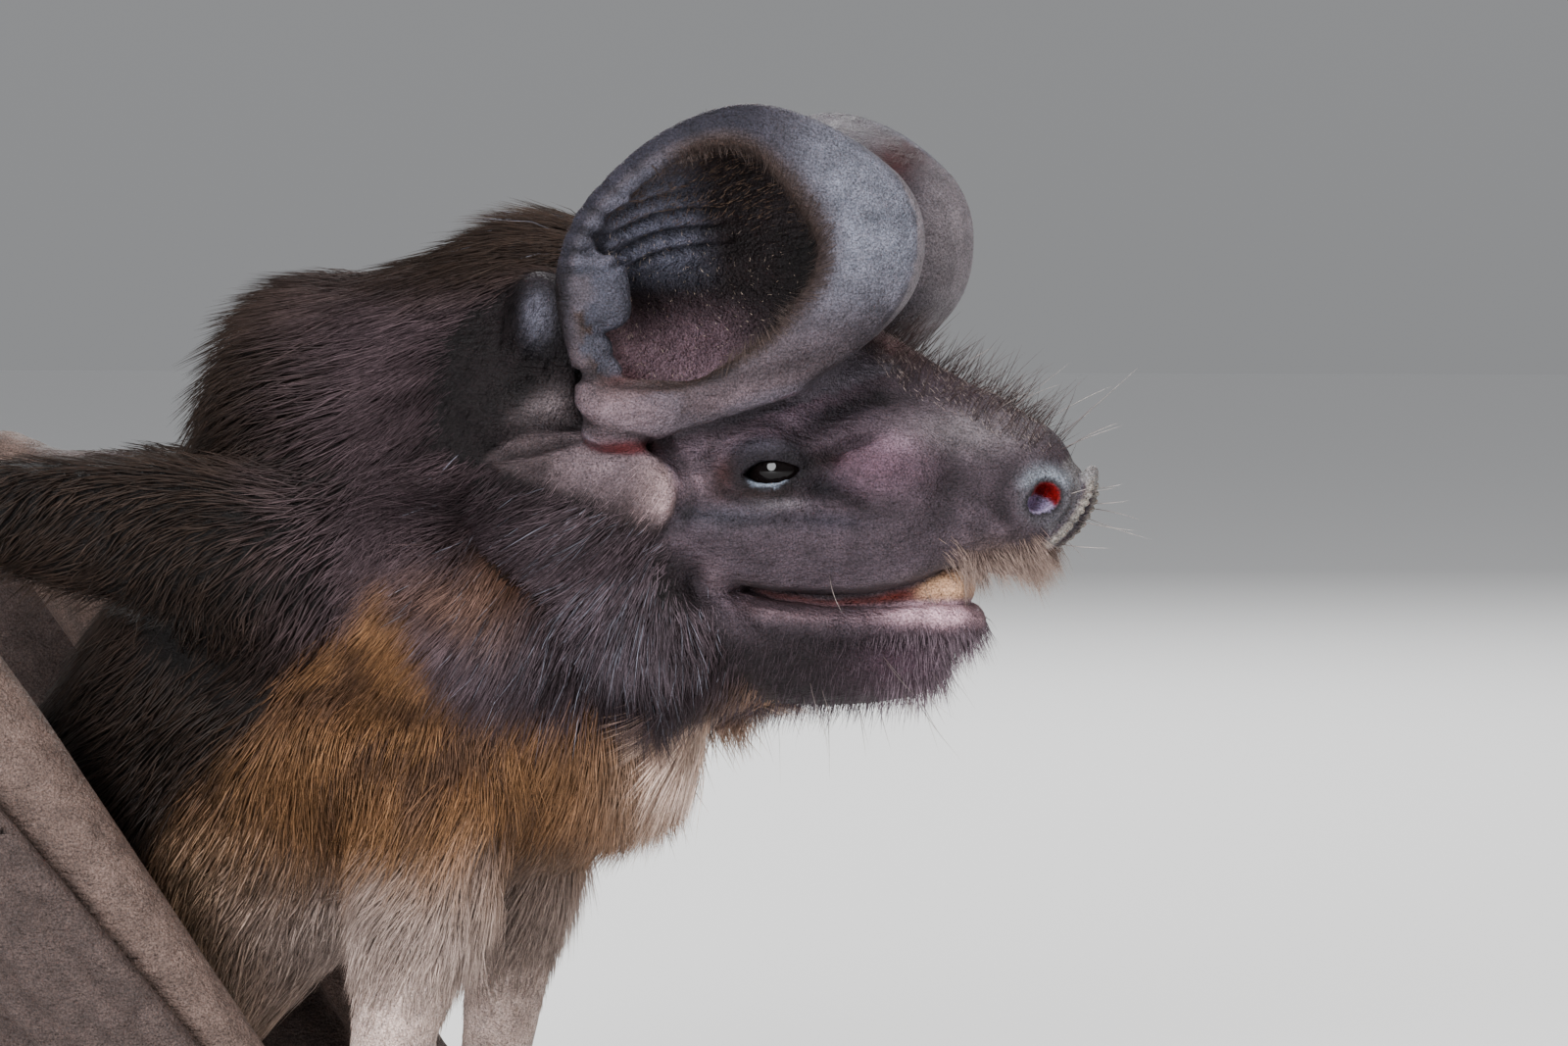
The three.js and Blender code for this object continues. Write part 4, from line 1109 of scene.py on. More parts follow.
# Markings of the face, painted shadows and highlights among them, each with its colour, place, radii and
# strength. A later one lies over an earlier one.
FACE_MARKS = [
    ((34, 25, 30), (10.6, 5, 52.8), (3.0, 6, 1.2), 0.35),  # painted shadow on the forehead, below the ear's brim
    ((40, 30, 36), (14.2, 6, 50.9), (2.0, 5, 0.8), 0.55),
    ((124, 104, 114), (20.6, 8, 49.4), (2.6, 5, 1.1), 0.8),
    # painted shade in the groove down the snout
    ((56, 46, 52), (8.0, 5, 46.4), (1.9, 5, 2.8), 0.5),
    ((128, 104, 118), (17, 7.5, 51.5), (3.5, 6, 1.2), 0.7),  # lilac folds over the eye
    ((138, 116, 124), (22, 8.5, 47.2), (1.4, 5, 0.9), 0.8),
    ((88, 60, 74), (11.6, 5.2, 48.1), (2.7, 5, 1.8), 0.6),  # reddish cheek
    # painted highlight on the top of the cheek's swelling
    ((122, 96, 110), (10.6, 5.6, 49.2), (1.3, 5, 0.6), 0.5),
    ((34, 14, 18), (14.4, 6.5, 48.35), (1.5, 5, 0.5), 0.88),
    ((26, 20, 32), (14.8, 6.5, 46.75), (1.2, 5, 0.85), 0.85),
    ((64, 54, 62), (14.6, 6.5, 51.0), (2.1, 5, 0.55), 0.8),
    ((58, 60, 70), (20.0, 8, 45.2), (3.4, 5, 0.7), 0.6),  # the grey band under the eye
    ((54, 50, 62), (14.2, 7, 44.9), (2.4, 5, 0.5), 0.6),
]
LID_MARKS = [
    # painted highlight on the top of the upper lid
    ((64, 59, 69), (17.8, 8.3, 49.2), (1.4, 3, 0.4), 0.6),
    ((30, 14, 11), (18.0, 8, 46.45), (2.4, 4, 0.45), 0.95),  # brown below the eye and behind it
    ((48, 22, 18), (20.2, 8, 47.4), (0.7, 4, 1.1), 0.9),
]
SNOUT_MARKS = [
    ((128, 120, 126), (17.0, 7.5, 45.9), (1.4, 4, 0.3), 0.6),
    ((132, 122, 126), (6.8, 2.5, 50.0), (3.8, 4, 1.3), 0.75),  # the snout's top
]
LIP_MARKS = [
    ((130, 108, 114), (21, 8, 41.6), (0.9, 4, 1.2), 0.3),  # corner of the mouth
    ((120, 98, 86), (5.2, 2.5, 42.4), (2.0, 4, 1.2), 0.8),  # the pale front of the upper lip
]
BELOW_EAR_MARKS = [
    ((110, 20, 12), (25.6, 10.3, 49.2), (1.6, 2, 0.5), 0.95),  # the red crevice below the lobe
    ((120, 64, 70), (25.8, 9, 52.9), (0.9, 3, 0.35), 0.6),
]
BEHIND_EAR_MARKS = [
    ((104, 92, 94), (30.6, 9, 51.5), (2.0, 4, 1.1), 0.7),  # the strap from the ear to the neck
    ((14, 10, 12), (28.6, 9, 51.9), (0.7, 4, 1.5), 0.97),
    ((14, 10, 12), (29.3, 9, 55.5), (0.7, 4, 2.6), 0.9),
    # painted highlight on the bump behind the ear
    ((110, 108, 122), (31.1, 9, 56.6), (0.8, 4, 1.3), 0.85),
    ((150, 104, 96), (10.8, 2.5, 55.2), (2.0, 3, 1.0), 0.5),  # the forehead between the ears
]


class Paint:
    """The skin's colour at many places, laid on layer by layer."""

    def __init__(self, places, normals):
        self.places, self.normals = places, normals
        self.x, self.y, self.z = places[:, 0], np.abs(places[:, 1]), places[:, 2]
        self.back = NOSE_X - self.x
        self.colour = np.tile(FACE_SKIN, (len(places), 1))

    def touch(self, new, amount):
        self.colour = mix(self.colour, new, np.clip(amount, 0, 1))

    def marks(self, rows):
        for colour, place, radii, amount in rows:
            self.touch(tone(*colour), spot(self.x, self.y, self.z, at(*place), radii) * amount)


def paint_face(skin):
    x, y, z, back, touch = skin.x, skin.y, skin.z, skin.back, skin.touch
    touch(tone(94, 79, 88), ramp(waves(skin.places, 1.1, 3), 0.1, 1.2) * 0.35)
    skin.marks(FACE_MARKS)
    lid_way = np.hypot((back - 17.7) / 2.75, (z - 48.05) / 1.95)
    touch(tone(30, 25, 30), fall(lid_way, 0.72, 1.12) * (y > 5) * 0.97)
    skin.marks(LID_MARKS)
    # Painted reflection: a pale blue line along the wet edge of the lower lid.
    wet_reflection = np.exp(-(((eye_opening(x, z) - 0.05) / 0.085) ** 2)) * ramp(-z, -47.5, -47.1) * (y > 5)
    touch(tone(158, 170, 188), wet_reflection * 0.85 * ramp(back, 16.0, 16.6) * fall(back, 18.2, 18.9))
    skin.marks(SNOUT_MARKS)


def paint_mouth(skin):
    z, back, touch = skin.z, skin.back, skin.touch
    upper, lower = lip_edge(back, UPPER_LIP), lip_edge(back, LOWER_LIP)
    lips = fall(back, 19, 20.5) * ramp(back, 4.5, 6.5)
    touch(tone(64, 54, 56), np.exp(-(((z - upper - 0.35) / 0.45) ** 2)) * lips * 0.8)
    inside = ramp(z, lower - 0.35, lower + 0.1) * fall(z, upper - 0.25, upper + 0.15) * lips
    touch(tone(96, 40, 34), inside * ramp(back, 9, 11))
    touch(tone(250, 196, 156), inside * fall(back, 9.0, 10.6))  # the gum
    knob = 1 - ramp(back, 8.5, 12.5)  # the lower lip swells and pales in front
    lip_top = np.exp(-(((z - lower + 0.6 + 0.25 * knob) / (0.62 + 0.4 * knob)) ** 2))
    lip_top = lip_top * fall(back, 9.0, 14.5) * (1 - inside)
    touch(tone(208, 168, 178), lip_top * 0.95)
    rear_lip = np.exp(-(((z - lower + 0.6) / 0.5) ** 2)) * lips * ramp(back, 12, 15)
    touch(tone(128, 104, 110), rear_lip * 0.6)
    chin = fall(z, 37.0, 39.4) * fall(back, 20, 24)
    touch(mix(tone(82, 60, 72), tone(28, 19, 22), ramp(back, 9, 16)), chin * 0.92)
    skin.marks(LIP_MARKS)


def paint_nose(skin):
    x, y, z, back, touch = skin.x, skin.y, skin.z, skin.back, skin.touch
    pad = nose_pad(x, y, z) < 0.25
    touch(tone(88, 82, 88), pad * 0.9)
    touch(tone(136, 130, 130), pad * ramp(skin.normals[:, 0], 0.55, 0.85) * 0.85)  # its front
    far = np.sqrt((x - NOSTRIL[0]) ** 2 + ((y - NOSTRIL[1]) * 0.7) ** 2 + (z - NOSTRIL[2]) ** 2)
    rim = np.exp(-(((far - 1.35) / 0.5) ** 2))
    touch(tone(96, 92, 99), rim * (back < 4.8) * 0.8)
    # painted highlight along the top of the nostril's ring
    touch(tone(150, 155, 166), rim * ramp(z, 46.5, 47.3) * (back < 4.6) * 0.95)
    touch(tone(150, 146, 146), np.clip(1.2 - nose_tip(x, y, z) / 0.2, 0, 1) * 0.85)
    hole = nostril_hole(x, y, z)
    touch(tone(20, 16, 20), np.clip(1.7 - hole / 0.3, 0, 1) * (back < 5) * 0.85)
    lining = mix(tone(196, 180, 220), tone(140, 4, 6), ramp(z - 0.45 * (back - 2.9), 45.95, 46.2))
    touch(lining, np.clip(0.9 - hole / 0.14, 0, 1) * (back < 5.4))
    beads = np.min([form(x, y, z) for form in bead_forms], axis=0)
    touch(tone(160, 152, 144), np.clip(1.1 - beads / 0.14, 0, 1) * 0.9)


def paint_ear(skin):
    x, y, z, back, touch = skin.x, skin.y, skin.z, skin.back, skin.touch
    rho, sunk, reach, roll, depth = ear_frame(x, y, z)
    face = ear_bowl(rho, sunk, reach, depth)
    near_ear = within(*EAR_BOX, x, y, z) & (rho < reach + 0.6)
    ear = near_ear & (y > 2.2)
    on_roll = 1 - ramp(roll_distance(rho, sunk, reach, roll), 0.15, 0.6)
    rolled = ear * ramp(rho, reach - 1.9 * roll, reach - 0.8 * roll)
    rolled = rolled * fall(sunk, roll * 0.7, roll * 1.5) * on_roll
    bowl = near_ear * (1 - rolled) * (face < -0.3) * (sunk > -1.1 * roll)
    touch(EAR_SKIN, ear * 0.75)
    light = ramp(x, x_at(18.5), x_at(12.5))
    # Partly the brim's own blue-grey, partly a painted highlight: lighter at its upper front.
    touch(tone(118, 119, 132), rolled * light * ramp(z, 55, 61) * 0.95)
    touch(tone(86, 72, 76), rolled * fall(z, 52.5, 58) * 0.9)
    touch(tone(44, 42, 52), rolled * (1 - light) * ramp(z, 54, 58) * 0.95)
    # Painted shade: the bowl darkens the deeper it goes.
    deep = ramp(sunk, 0.4, 4.0)
    touch(mix(tone(62, 48, 44), EAR_HOLLOW_SHADE, deep), bowl * 0.97)
    touch(tone(72, 57, 51), bowl * ramp(z, 60, 65) * (1 - deep) * 0.6)
    pink_floor = bowl * fall(z, 53.5, 58.5) * ramp(back, 18, 23) * ramp(sunk, 0.9, 2.2)
    touch(tone(138, 110, 120), pink_floor * 0.85)
    # Painted shadow under the front of the brim, near black deep down.
    under_brim_shadow = bowl * fall(back, 15.5, 19.5) * ramp(z, 52.5, 55) * fall(z, 60, 63)
    touch(tone(8, 6, 6), under_brim_shadow * deep**0.5 * 0.97)
    touch(tone(92, 92, 106), bowl * ramp(back, 21.0, 24.0) * ramp(z, 57.5, 59.5) * 0.75)  # its ridges
    lobes = np.min([form(x, y, z) for form, _ in ear_lobes[:5]], axis=0)
    touch(tone(72, 72, 84), (lobes < 0.2) * 0.85)
    outside = ear * (y < 8.2) * (sunk > 0) * (face > -0.35)
    touch(tone(66, 34, 36), outside * spot(x, 0, z, at(13.2, 0, 65.6), (1.6, 1, 1.6)))
    touch(tone(150, 140, 146), outside * ramp(x, x_at(12.5), x_at(9.5)) * 0.8)
    touch(tone(134, 112, 118), spot(x, 0, z, at(25.0, 0, 51.2), (2.6, 1, 1.4)) * ear * 0.85)
    skin.marks(BELOW_EAR_MARKS)


def paint_flap(skin):
    """The flap behind the face, and the skin behind the ear."""
    x, y, z, back, touch = skin.x, skin.y, skin.z, skin.back, skin.touch
    flap = np.clip(1.2 - antitragus(x, y, z) / 0.3, 0, 1) * (z < 50)
    behind = ramp(back, 27.6, 29) * ramp(z, 45.5, 48) * fall(z, 58, 61) * fall(back, 38, 42)
    touch(tone(20, 12, 14), behind)
    touch(tone(92, 78, 80), flap * 0.9)
    touch(tone(120, 102, 106), flap * ramp(z, 45.5, 48) * fall(back, 27, 31) * 0.9)
    touch(tone(164, 138, 138), flap * fall(back, 22.9, 25.6) * ramp(z, 44.5, 46) * 0.85)
    skin.marks(BEHIND_EAR_MARKS)


def paint_body(skin):
    x, y, z, back, touch = skin.x, skin.y, skin.z, skin.back, skin.touch
    furry = fur_cover(skin.places)
    touch(fur_colours(skin.places)[0] * 0.62, furry)
    limb = np.maximum(ramp(back, 70, 78) * (z < 25), (y > 12.4) & (z < 50) & (back > 33))
    limb = np.maximum(limb, ramp(-z, -12, -8) * (back < 45))
    touch(WING_SKIN, limb * (1 - furry))
    arm = np.clip(1.3 - np.minimum(forearm(x, y, z), palm(x, y, z)) / 0.5, 0, 1)
    touch(ARM_SKIN, arm * (1 - furry) * 0.9)
    fold = np.clip(1.2 - arm_fold(x, y, z) / 1.2, 0, 1) * (back < 46) * ramp(z, 6, 10)
    touch(FOLD_SKIN, fold * fall(z, 24, 30) * 0.9)
    touch(tone(112, 92, 84), (z < 4.5) * (back > 84) * (back < 100) * (y > 13) * 0.7)  # feet


def skin_colours(places, normals):
    skin = Paint(places, normals)
    for layer in (paint_face, paint_mouth, paint_nose, paint_ear, paint_flap, paint_body):
        layer(skin)
    # Painted shade darkens the folds' grooves and painted light brightens their ridges and swellings; the
    # ear's painted shadow and a random mottle are laid on top.
    relief_shading = np.clip(1 + 1.9 * relief(*(v.astype(np.float32) for v in (skin.x, skin.y, skin.z))), 0.2, 1.5)
    shade = ear_shade(skin.x, skin.y, skin.z) * relief_shading * (1 + 0.07 * waves(places, 0.45, 9))
    return SKIN_GAIN * skin.colour * shade[:, None]


def ear_shade(x, y, z):
    """Painted shadow in the crease where the ear's lower edge meets the face."""
    rho, _, reach, _, _ = ear_frame(x, y, z)
    band = np.exp(-(((rho - reach - 0.5) / 0.7) ** 2)) * (z < 57) * (z > 48) * (x > x_at(27)) * (y < 11)
    return 1 - 0.35 * band


# ---------------------------------------------------------------- where the coat grows
HAIRLINE_HEIGHT = [26, 34, 36, 38, 40.4, 43, 44.5, 46, 47.5, 49.5, 51, 53, 56, 58.5, 60, 63, 66, 70]
HAIRLINE_BACK = [19, 18.5, 19.4, 20.3, 21.6, 22.8, 23.6, 26.4, 31.5]
HAIRLINE_BACK += [36.5, 36.5, 36.5, 36, 33.4, 30.5, 28.6, 27.5, 27]


def fur_cover(places):
    """How thickly the long coat covers the skin at each place, 0 to 1."""
    x, y, z = places[:, 0], np.abs(places[:, 1]), places[:, 2]
    back = NOSE_X - x
    start = np.interp(z, HAIRLINE_HEIGHT, HAIRLINE_BACK)
    rho, sunk, reach, _, depth = ear_frame(x, y, z)
    outside_ear = ear_bowl(rho, sunk, reach, depth) > 0.12
    crown = ramp(back, 15, 19) * (y < 6) * (z > 54) * outside_ear * fall(z, 60, 63)
    cover = np.maximum(ramp(back, start - 1.6, start + 1.8), crown)
    cover = cover * fall(back, 76, 82)
    close = 1 - ramp(trunk_distance(x, y, z), -0.4, 1.6)
    near_arm = fall(upper_arm(x, y, z), 0.3, 1.5) * fall(back, 60, 70)
    near_thigh = fall(thigh(x, y, z), 0.3, 1.5) * fall(y, 12.5, 14.5)
    near_fold = fall(arm_fold(x, y, z), 0.5, 2.0) * ramp(z, 9, 22) * 0.9
    head = (back < 42) & (z > 30)
    cover = cover * np.maximum.reduce([close, near_arm, near_thigh, near_fold, head])
    cover = cover * (1 - 0.55 * fall(z, 14, 22) * (back < 46))
    return np.clip(cover, 0, 1)


# ---------------------------------------------------------------- the coat
class Skin:
    """The skin's triangles, on which hairs take root."""

    def __init__(self, places, quads):
        self.corners = np.concatenate([quads[:, :3], quads[:, [0, 2, 3]]])
        self.places = places
        a, b, c = (places[self.corners[:, k]] for k in range(3))
        cross = np.cross(b - a, c - a)
        size = np.linalg.norm(cross, axis=1)
        self.area = size / 2
        self.middle = (a + b + c) / 3
        self.normal = cross / (size[:, None] + 1e-12)
        smooth = np.zeros_like(places)
        for k in range(3):
            np.add.at(smooth, self.corners[:, k], cross)
        self.smooth = unit(smooth)

    def roots(self, density, most, rng):
        """Places and normals scattered by `density`, a number per square millimetre for every triangle."""
        weight = density * self.area
        total = weight.sum()
        count = int(min(most, total))
        steps = (np.arange(count) + rng.random(count)) / count
        picked = np.searchsorted(np.cumsum(weight) / total, steps).clip(0, len(weight) - 1)
        u, v = rng.random(count), rng.random(count)
        over = u + v > 1
        u[over], v[over] = 1 - u[over], 1 - v[over]
        a, b, c = (self.corners[picked, k] for k in range(3))
        w = np.stack([1 - u - v, u, v], axis=1)[..., None]
        spots = w[:, 0] * self.places[a] + w[:, 1] * self.places[b] + w[:, 2] * self.places[c]
        normals = w[:, 0] * self.smooth[a] + w[:, 1] * self.smooth[b] + w[:, 2] * self.smooth[c]
        return spots, unit(normals)


def unwrap(spots):
    """Where a root lies on the skin unrolled about the trunk's middle line: round it, and along it."""
    axis = np.interp(NOSE_X - spots[:, 0], AXIS_BACK, AXIS_HEIGHT)
    round_it = np.arctan2(spots[:, 1], spots[:, 2] - axis) / (2 * math.pi) + 0.5
    along = (NOSE_X - spots[:, 0] - 0.35 * (spots[:, 2] - axis)) / 90 + 0.12
    return np.stack([0.01 + 0.98 * np.clip(round_it, 0, 1), 0.01 + 0.98 * np.clip(along, 0, 1)], axis=1)


PATCH = 0.003  # a tuft's size on the unrolled skin


def tube_faces(rings, sides):
    """Two triangles for each side between one ring of places and the next."""
    faces = []
    for r in range(rings - 1):
        for k in range(sides):
            a, b = r * sides + k, r * sides + (k + 1) % sides
            faces += [(a, b, b + sides), (a, b + sides, a + sides)]
    return faces


def unit(v):
    return v / (np.linalg.norm(v, axis=-1, keepdims=True) + 1e-9)


def drawn_together(line, spots, clump, steps, rng):
    """Locks whose tips lean to those of the leader nearest to them."""
    count = len(spots)
    leaders = rng.choice(count, max(1, count // 9), replace=False)
    order = leaders[nearest(spots, spots[leaders])]
    pull = (clump * (0.4 + 0.6 * rng.random(count)))[:, None, None] * (steps**1.5)[None, :, None]
    goal = line[order] + (spots - spots[order])[:, None] * 0.35
    return line * (1 - pull) + goal * pull


def tufts(name, spots, normals, lay, length, width, lift, base, tips, rng, rings, curl=0.35, clump=0.45,
          flat=0.5, free=False):
    """One piece of coat: a tapered, three-sided lock of hair on every root.

    lay      the way the hair lies, for every root, made to follow the skin unless it is free
    lift     how steeply it leaves the skin, 0 along it to 1 straight out
    curl     how much of the lift is lost toward the tip
    clump    how strongly neighbouring tips draw together
    flat     a lock's thickness as a share of its width
    """
    count = len(spots)
    lay = lay + rng.normal(scale=0.16, size=(count, 3))
    along = unit(lay if free else lay - (lay * normals).sum(axis=1, keepdims=True) * normals)
    lift = np.clip(lift * (1 + rng.normal(scale=0.3, size=count)), 0.02, 0.98)[:, None]
    length = (length * rng.uniform(0.6, 1.25, count))[:, None]
    side = unit(np.cross(normals, along))
    bend = rng.normal(scale=0.12, size=count)[:, None]
    steps = np.linspace(0, 1, rings + 1)
    start = spots - normals * 0.12
    rows = []
    for s in steps:
        out = normals * (lift * (s - curl * s * s) * length)
        forth = along * (np.sqrt(np.maximum(1 - lift**2, 0)) * s * length) * (1 + curl * lift * s)
        rows.append(start + out + forth + side * (bend * s * s * length))
    line = np.stack(rows, axis=1)
    if clump:
        line = drawn_together(line, spots, clump, steps, rng)
    across = np.repeat(side[:, None], rings + 1, axis=1)
    up = np.cross(unit(np.gradient(line, axis=1)), across)
    breadth = (width * rng.uniform(0.7, 1.3, count))[:, None] * (1 - 0.82 * steps**1.6)[None, :]
    corners = []
    for turn in (0.5, 0.5 + 2 / 3, 0.5 + 4 / 3):
        c, s = math.cos(turn * math.pi), math.sin(turn * math.pi)
        corner = line + across * (breadth * c * 0.5)[..., None]
        corners.append(corner + up * (breadth * s * flat * 0.5)[..., None])
    sleeve = np.stack(corners, axis=2)[:, :rings].reshape(count, rings * 3, 3)
    places = np.concatenate([sleeve, line[:, -1:]], axis=1)
    each = rings * 3 + 1
    last = (rings - 1) * 3
    faces = np.array(tube_faces(rings, 3) + [(last + k, last + (k + 1) % 3, each - 1) for k in range(3)])
    share = np.append(np.repeat(np.arange(rings) / rings, 3), 1.0)
    mixed = share[None, :, None] ** 1.3
    colours = base[:, None] * (1 - mixed) + tips[:, None] * mixed
    all_faces = (faces[None] + (np.arange(count) * each)[:, None, None]).reshape(-1, 3)
    thing = mesh_from(name, places.reshape(-1, 3), all_faces, colours.reshape(-1, 3))
    patch = np.stack([(np.arange(each) % 3 - 1) * PATCH / 2, (share - 0.5) * PATCH], axis=1)
    uv = (unwrap(spots)[:, None] + patch[None]).reshape(-1, 2)
    layer = thing.data.uv_layers.new(name="OFBake")
    layer.data.foreach_set("uv", uv[all_faces.ravel()].astype(np.float32).ravel())
    return thing


BATCH = 2000  # points whose distances to every leader are held at once


def nearest(points, leaders):
    """The index of each point's nearest leader."""
    result = np.zeros(len(points), dtype=np.int64)
    for s in range(0, len(points), BATCH):
        block = points[s : s + BATCH].astype(np.float32)
        far = ((block[:, None, :] - leaders[None].astype(np.float32)) ** 2).sum(axis=2)
        result[s : s + BATCH] = far.argmin(axis=1)
    return result


def flow(spots, normals):
    """The way the long coat lies: backward along the trunk, down over the sides, cheeks and breast."""
    x, z = spots[:, 0], spots[:, 2]
    back = NOSE_X - x
    outward = np.sign(spots[:, 1] + 1e-6)
    lean = np.radians(np.interp(back, [20, 33, 46, 60, 80], [20, 40, 44, 44, 30]))
    high = above_axis(x, z)
    along = np.stack([-np.cos(lean), np.zeros_like(x), -np.sin(lean)], axis=1)
    down = np.array([[0.0, 0.0, -1.0]])
    drop = ramp(-high, -9, 8)[:, None]
    way = along * (1.1 - 0.5 * drop) + down * 0.9 * drop
    ruff = (spot(x, 0, z, at(26.5, 0, 40.5), (6.5, 1, 6.0)) * (z > 33))[:, None]
    fan = np.stack([(25.2 - back) * 0.3 - 0.3, outward * 0.1, (z - 42.8) * 0.22 - 0.4], axis=1)
    way = way * (1 - 0.9 * ruff) + fan * ruff
    throat = (fall(z, 33, 37) * fall(back, 27, 33))[:, None]
    way = way * (1 - throat) + np.array([[0.1, 0, -1.0]]) * throat
    way = way + 0.3 * sway(spots, 1.4, 21)
    slid = np.linalg.norm(way - (way * normals).sum(axis=1, keepdims=True) * normals, axis=1, keepdims=True)
    return way + np.array([[-1.0, 0, -0.1]]) * np.maximum(0.7 - slid, 0) * 2  # underneath, it lies backward


# ---------------------------------------------------------------- materials
def noise_between(nodes, links, coords, scale, low, high, detail=4.0, rough=0.6):
    """A noise texture stretched to run from low to high."""
    noise = nodes.new("ShaderNodeTexNoise")
    noise.inputs["Scale"].default_value = scale
    noise.inputs["Detail"].default_value = detail
    noise.inputs["Roughness"].default_value = rough
    links.new(coords, noise.inputs["Vector"])
    span = nodes.new("ShaderNodeMapRange")
    span.inputs["From Min"].default_value, span.inputs["From Max"].default_value = 0.3, 0.7
    span.inputs["To Min"].default_value, span.inputs["To Max"].default_value = low, high
    links.new(noise.outputs["Fac"], span.inputs["Value"])
    return span.outputs["Result"]


def new_material(name):
    """A material, its nodes and links, its shader and the coordinates of the piece that wears it."""
    material = bpy.data.materials.new(name)
    material.use_nodes = True
    nodes, links = material.node_tree.nodes, material.node_tree.links
    coords = nodes.new("ShaderNodeTexCoord").outputs["Object"]
    return material, nodes, links, nodes["Principled BSDF"], coords


def tint_times(nodes, links, value, shader):
    """The painted colours as the shader's own, lighter and darker by a value."""
    tint = nodes.new("ShaderNodeAttribute")
    tint.attribute_name = "tint"
    grey = nodes.new("ShaderNodeCombineColor")
    for channel in ("Red", "Green", "Blue"):
        links.new(value, grey.inputs[channel])
    shade = nodes.new("ShaderNodeMix")
    shade.data_type = "RGBA"
    shade.blend_type = "MULTIPLY"
    shade.inputs["Factor"].default_value = 1.0
    links.new(tint.outputs["Color"], shade.inputs["A"])
    links.new(grey.outputs["Color"], shade.inputs["B"])
    links.new(shade.outputs["Result"], shader.inputs["Base Color"])


def bump_of(nodes, links, height, strength, distance):
    """A bump that follows a height, no deeper than a distance in metres."""
    bump = nodes.new("ShaderNodeBump")
    bump.inputs["Strength"].default_value = strength
    bump.inputs["Distance"].default_value = distance
    links.new(height, bump.inputs["Height"])
    return bump


def hide_material(name):
    """Bare or velvety skin: the markings, fine specks of hair, pores and wrinkles."""
    material, nodes, links, shader, coords = new_material(name)
    mottle = noise_between(nodes, links, coords, 700, 0.7, 1.26)
    grain = noise_between(nodes, links, coords, 9000, 0.46, 1.9, detail=2.0)
    product = nodes.new("ShaderNodeMath")
    product.operation = "MULTIPLY"
    links.new(mottle, product.inputs[0])
    links.new(grain, product.inputs[1])
    tint_times(nodes, links, product.outputs[0], shader)
    links.new(noise_between(nodes, links, coords, 1400, 0.5, 0.7), shader.inputs["Roughness"])
    shader.inputs["Specular IOR Level"].default_value = 0.13
    shader.inputs["Subsurface Weight"].default_value = 0.08
    shader.inputs["Subsurface Radius"].default_value = (0.0012, 0.0005, 0.0003)
    shader.inputs["Subsurface Scale"].default_value = 1.0
    pores = nodes.new("ShaderNodeTexVoronoi")
    pores.inputs["Scale"].default_value = 6500
    links.new(coords, pores.inputs["Vector"])
    stretched = nodes.new("ShaderNodeMapping")
    stretched.inputs["Scale"].default_value = (0.55, 1, 1.7)
    stretched.inputs["Rotation"].default_value = (0, 0.35, 0)
    links.new(coords, stretched.inputs["Vector"])
    wrinkles = noise_between(nodes, links, stretched.outputs["Vector"], 1500, 0, 1, detail=5.0)
    pitted = bump_of(nodes, links, pores.outputs["Distance"], 1.0, 0.00007)
    creased = bump_of(nodes, links, wrinkles, 0.9, 0.00018)
    links.new(pitted.outputs["Normal"], creased.inputs["Normal"])
    links.new(creased.outputs["Normal"], shader.inputs["Normal"])
    return material


def hair_material(name, rough, gloss):
    """Hair in its painted colours."""
    material, nodes, links, shader, coords = new_material(name)
    tint_times(nodes, links, noise_between(nodes, links, coords, 2600, 0.7, 1.35, detail=3.0), shader)
    dull = noise_between(nodes, links, coords, 1800, rough - 0.08, rough + 0.12)
    links.new(dull, shader.inputs["Roughness"])
    shader.inputs["Specular IOR Level"].default_value = gloss
    return material


def horn_material(name, colour, roughness, scale, coat=0.0):
    """A hard, smooth stuff of nearly one colour, for eyes and claws."""
    material, nodes, links, shader, coords = new_material(name)
    value = noise_between(nodes, links, coords, scale, 0, 1)
    blend = nodes.new("ShaderNodeMix")
    blend.data_type = "RGBA"
    blend.inputs["A"].default_value = (*[c * 0.7 for c in colour], 1)
    blend.inputs["B"].default_value = (*[c * 1.3 for c in colour], 1)
    links.new(value, blend.inputs["Factor"])
    links.new(blend.outputs["Result"], shader.inputs["Base Color"])
    dull = noise_between(nodes, links, coords, scale * 2, roughness * 0.8, roughness * 1.3)
    links.new(dull, shader.inputs["Roughness"])
    shader.inputs["Coat Weight"].default_value = coat
    shader.inputs["Coat Roughness"].default_value = 0.03
    return material


# The ways the short hair lies, for its roots and the skin's normals there.
def face_way(spots, _):
    return sway(spots, 1.2, 31) * 0.3 + np.stack(
        [-np.ones(len(spots)), np.sign(spots[:, 1] + 1e-6) * 0.1, np.full(len(spots), -0.25)], axis=1
    )


def ear_way(spots, _):
    """Out from the ear's middle."""
    dx, dz = spots[:, 0] - EAR_MIDDLE[0], spots[:, 2] - EAR_MIDDLE[2]
    return np.stack([dx, np.sign(spots[:, 1]) * 3.0, dz], axis=1)


def inward_way(spots, _):
    """From the ear's rim into its bowl."""
    dx, dz = EAR_MIDDLE[0] - spots[:, 0], EAR_MIDDLE[2] - spots[:, 2]
    return np.stack([dx, -np.sign(spots[:, 1]) * 1.5, dz - 1.5], axis=1)


def round_way(spots, _):
    """Round the ear's bowl."""
    dx, dz = spots[:, 0] - EAR_MIDDLE[0], spots[:, 2] - EAR_MIDDLE[2]
    far = np.hypot(dx, dz) + 1e-6
    return np.stack([(dz + 0.3 * dx) / far, 0.2 * np.sign(spots[:, 1]), (0.3 * dz - dx) / far], axis=1)


def crest_way(spots, _):
    return np.array([[0.7, 0, 0.75]]) + 0.45 * sway(spots, 0.6, 42)


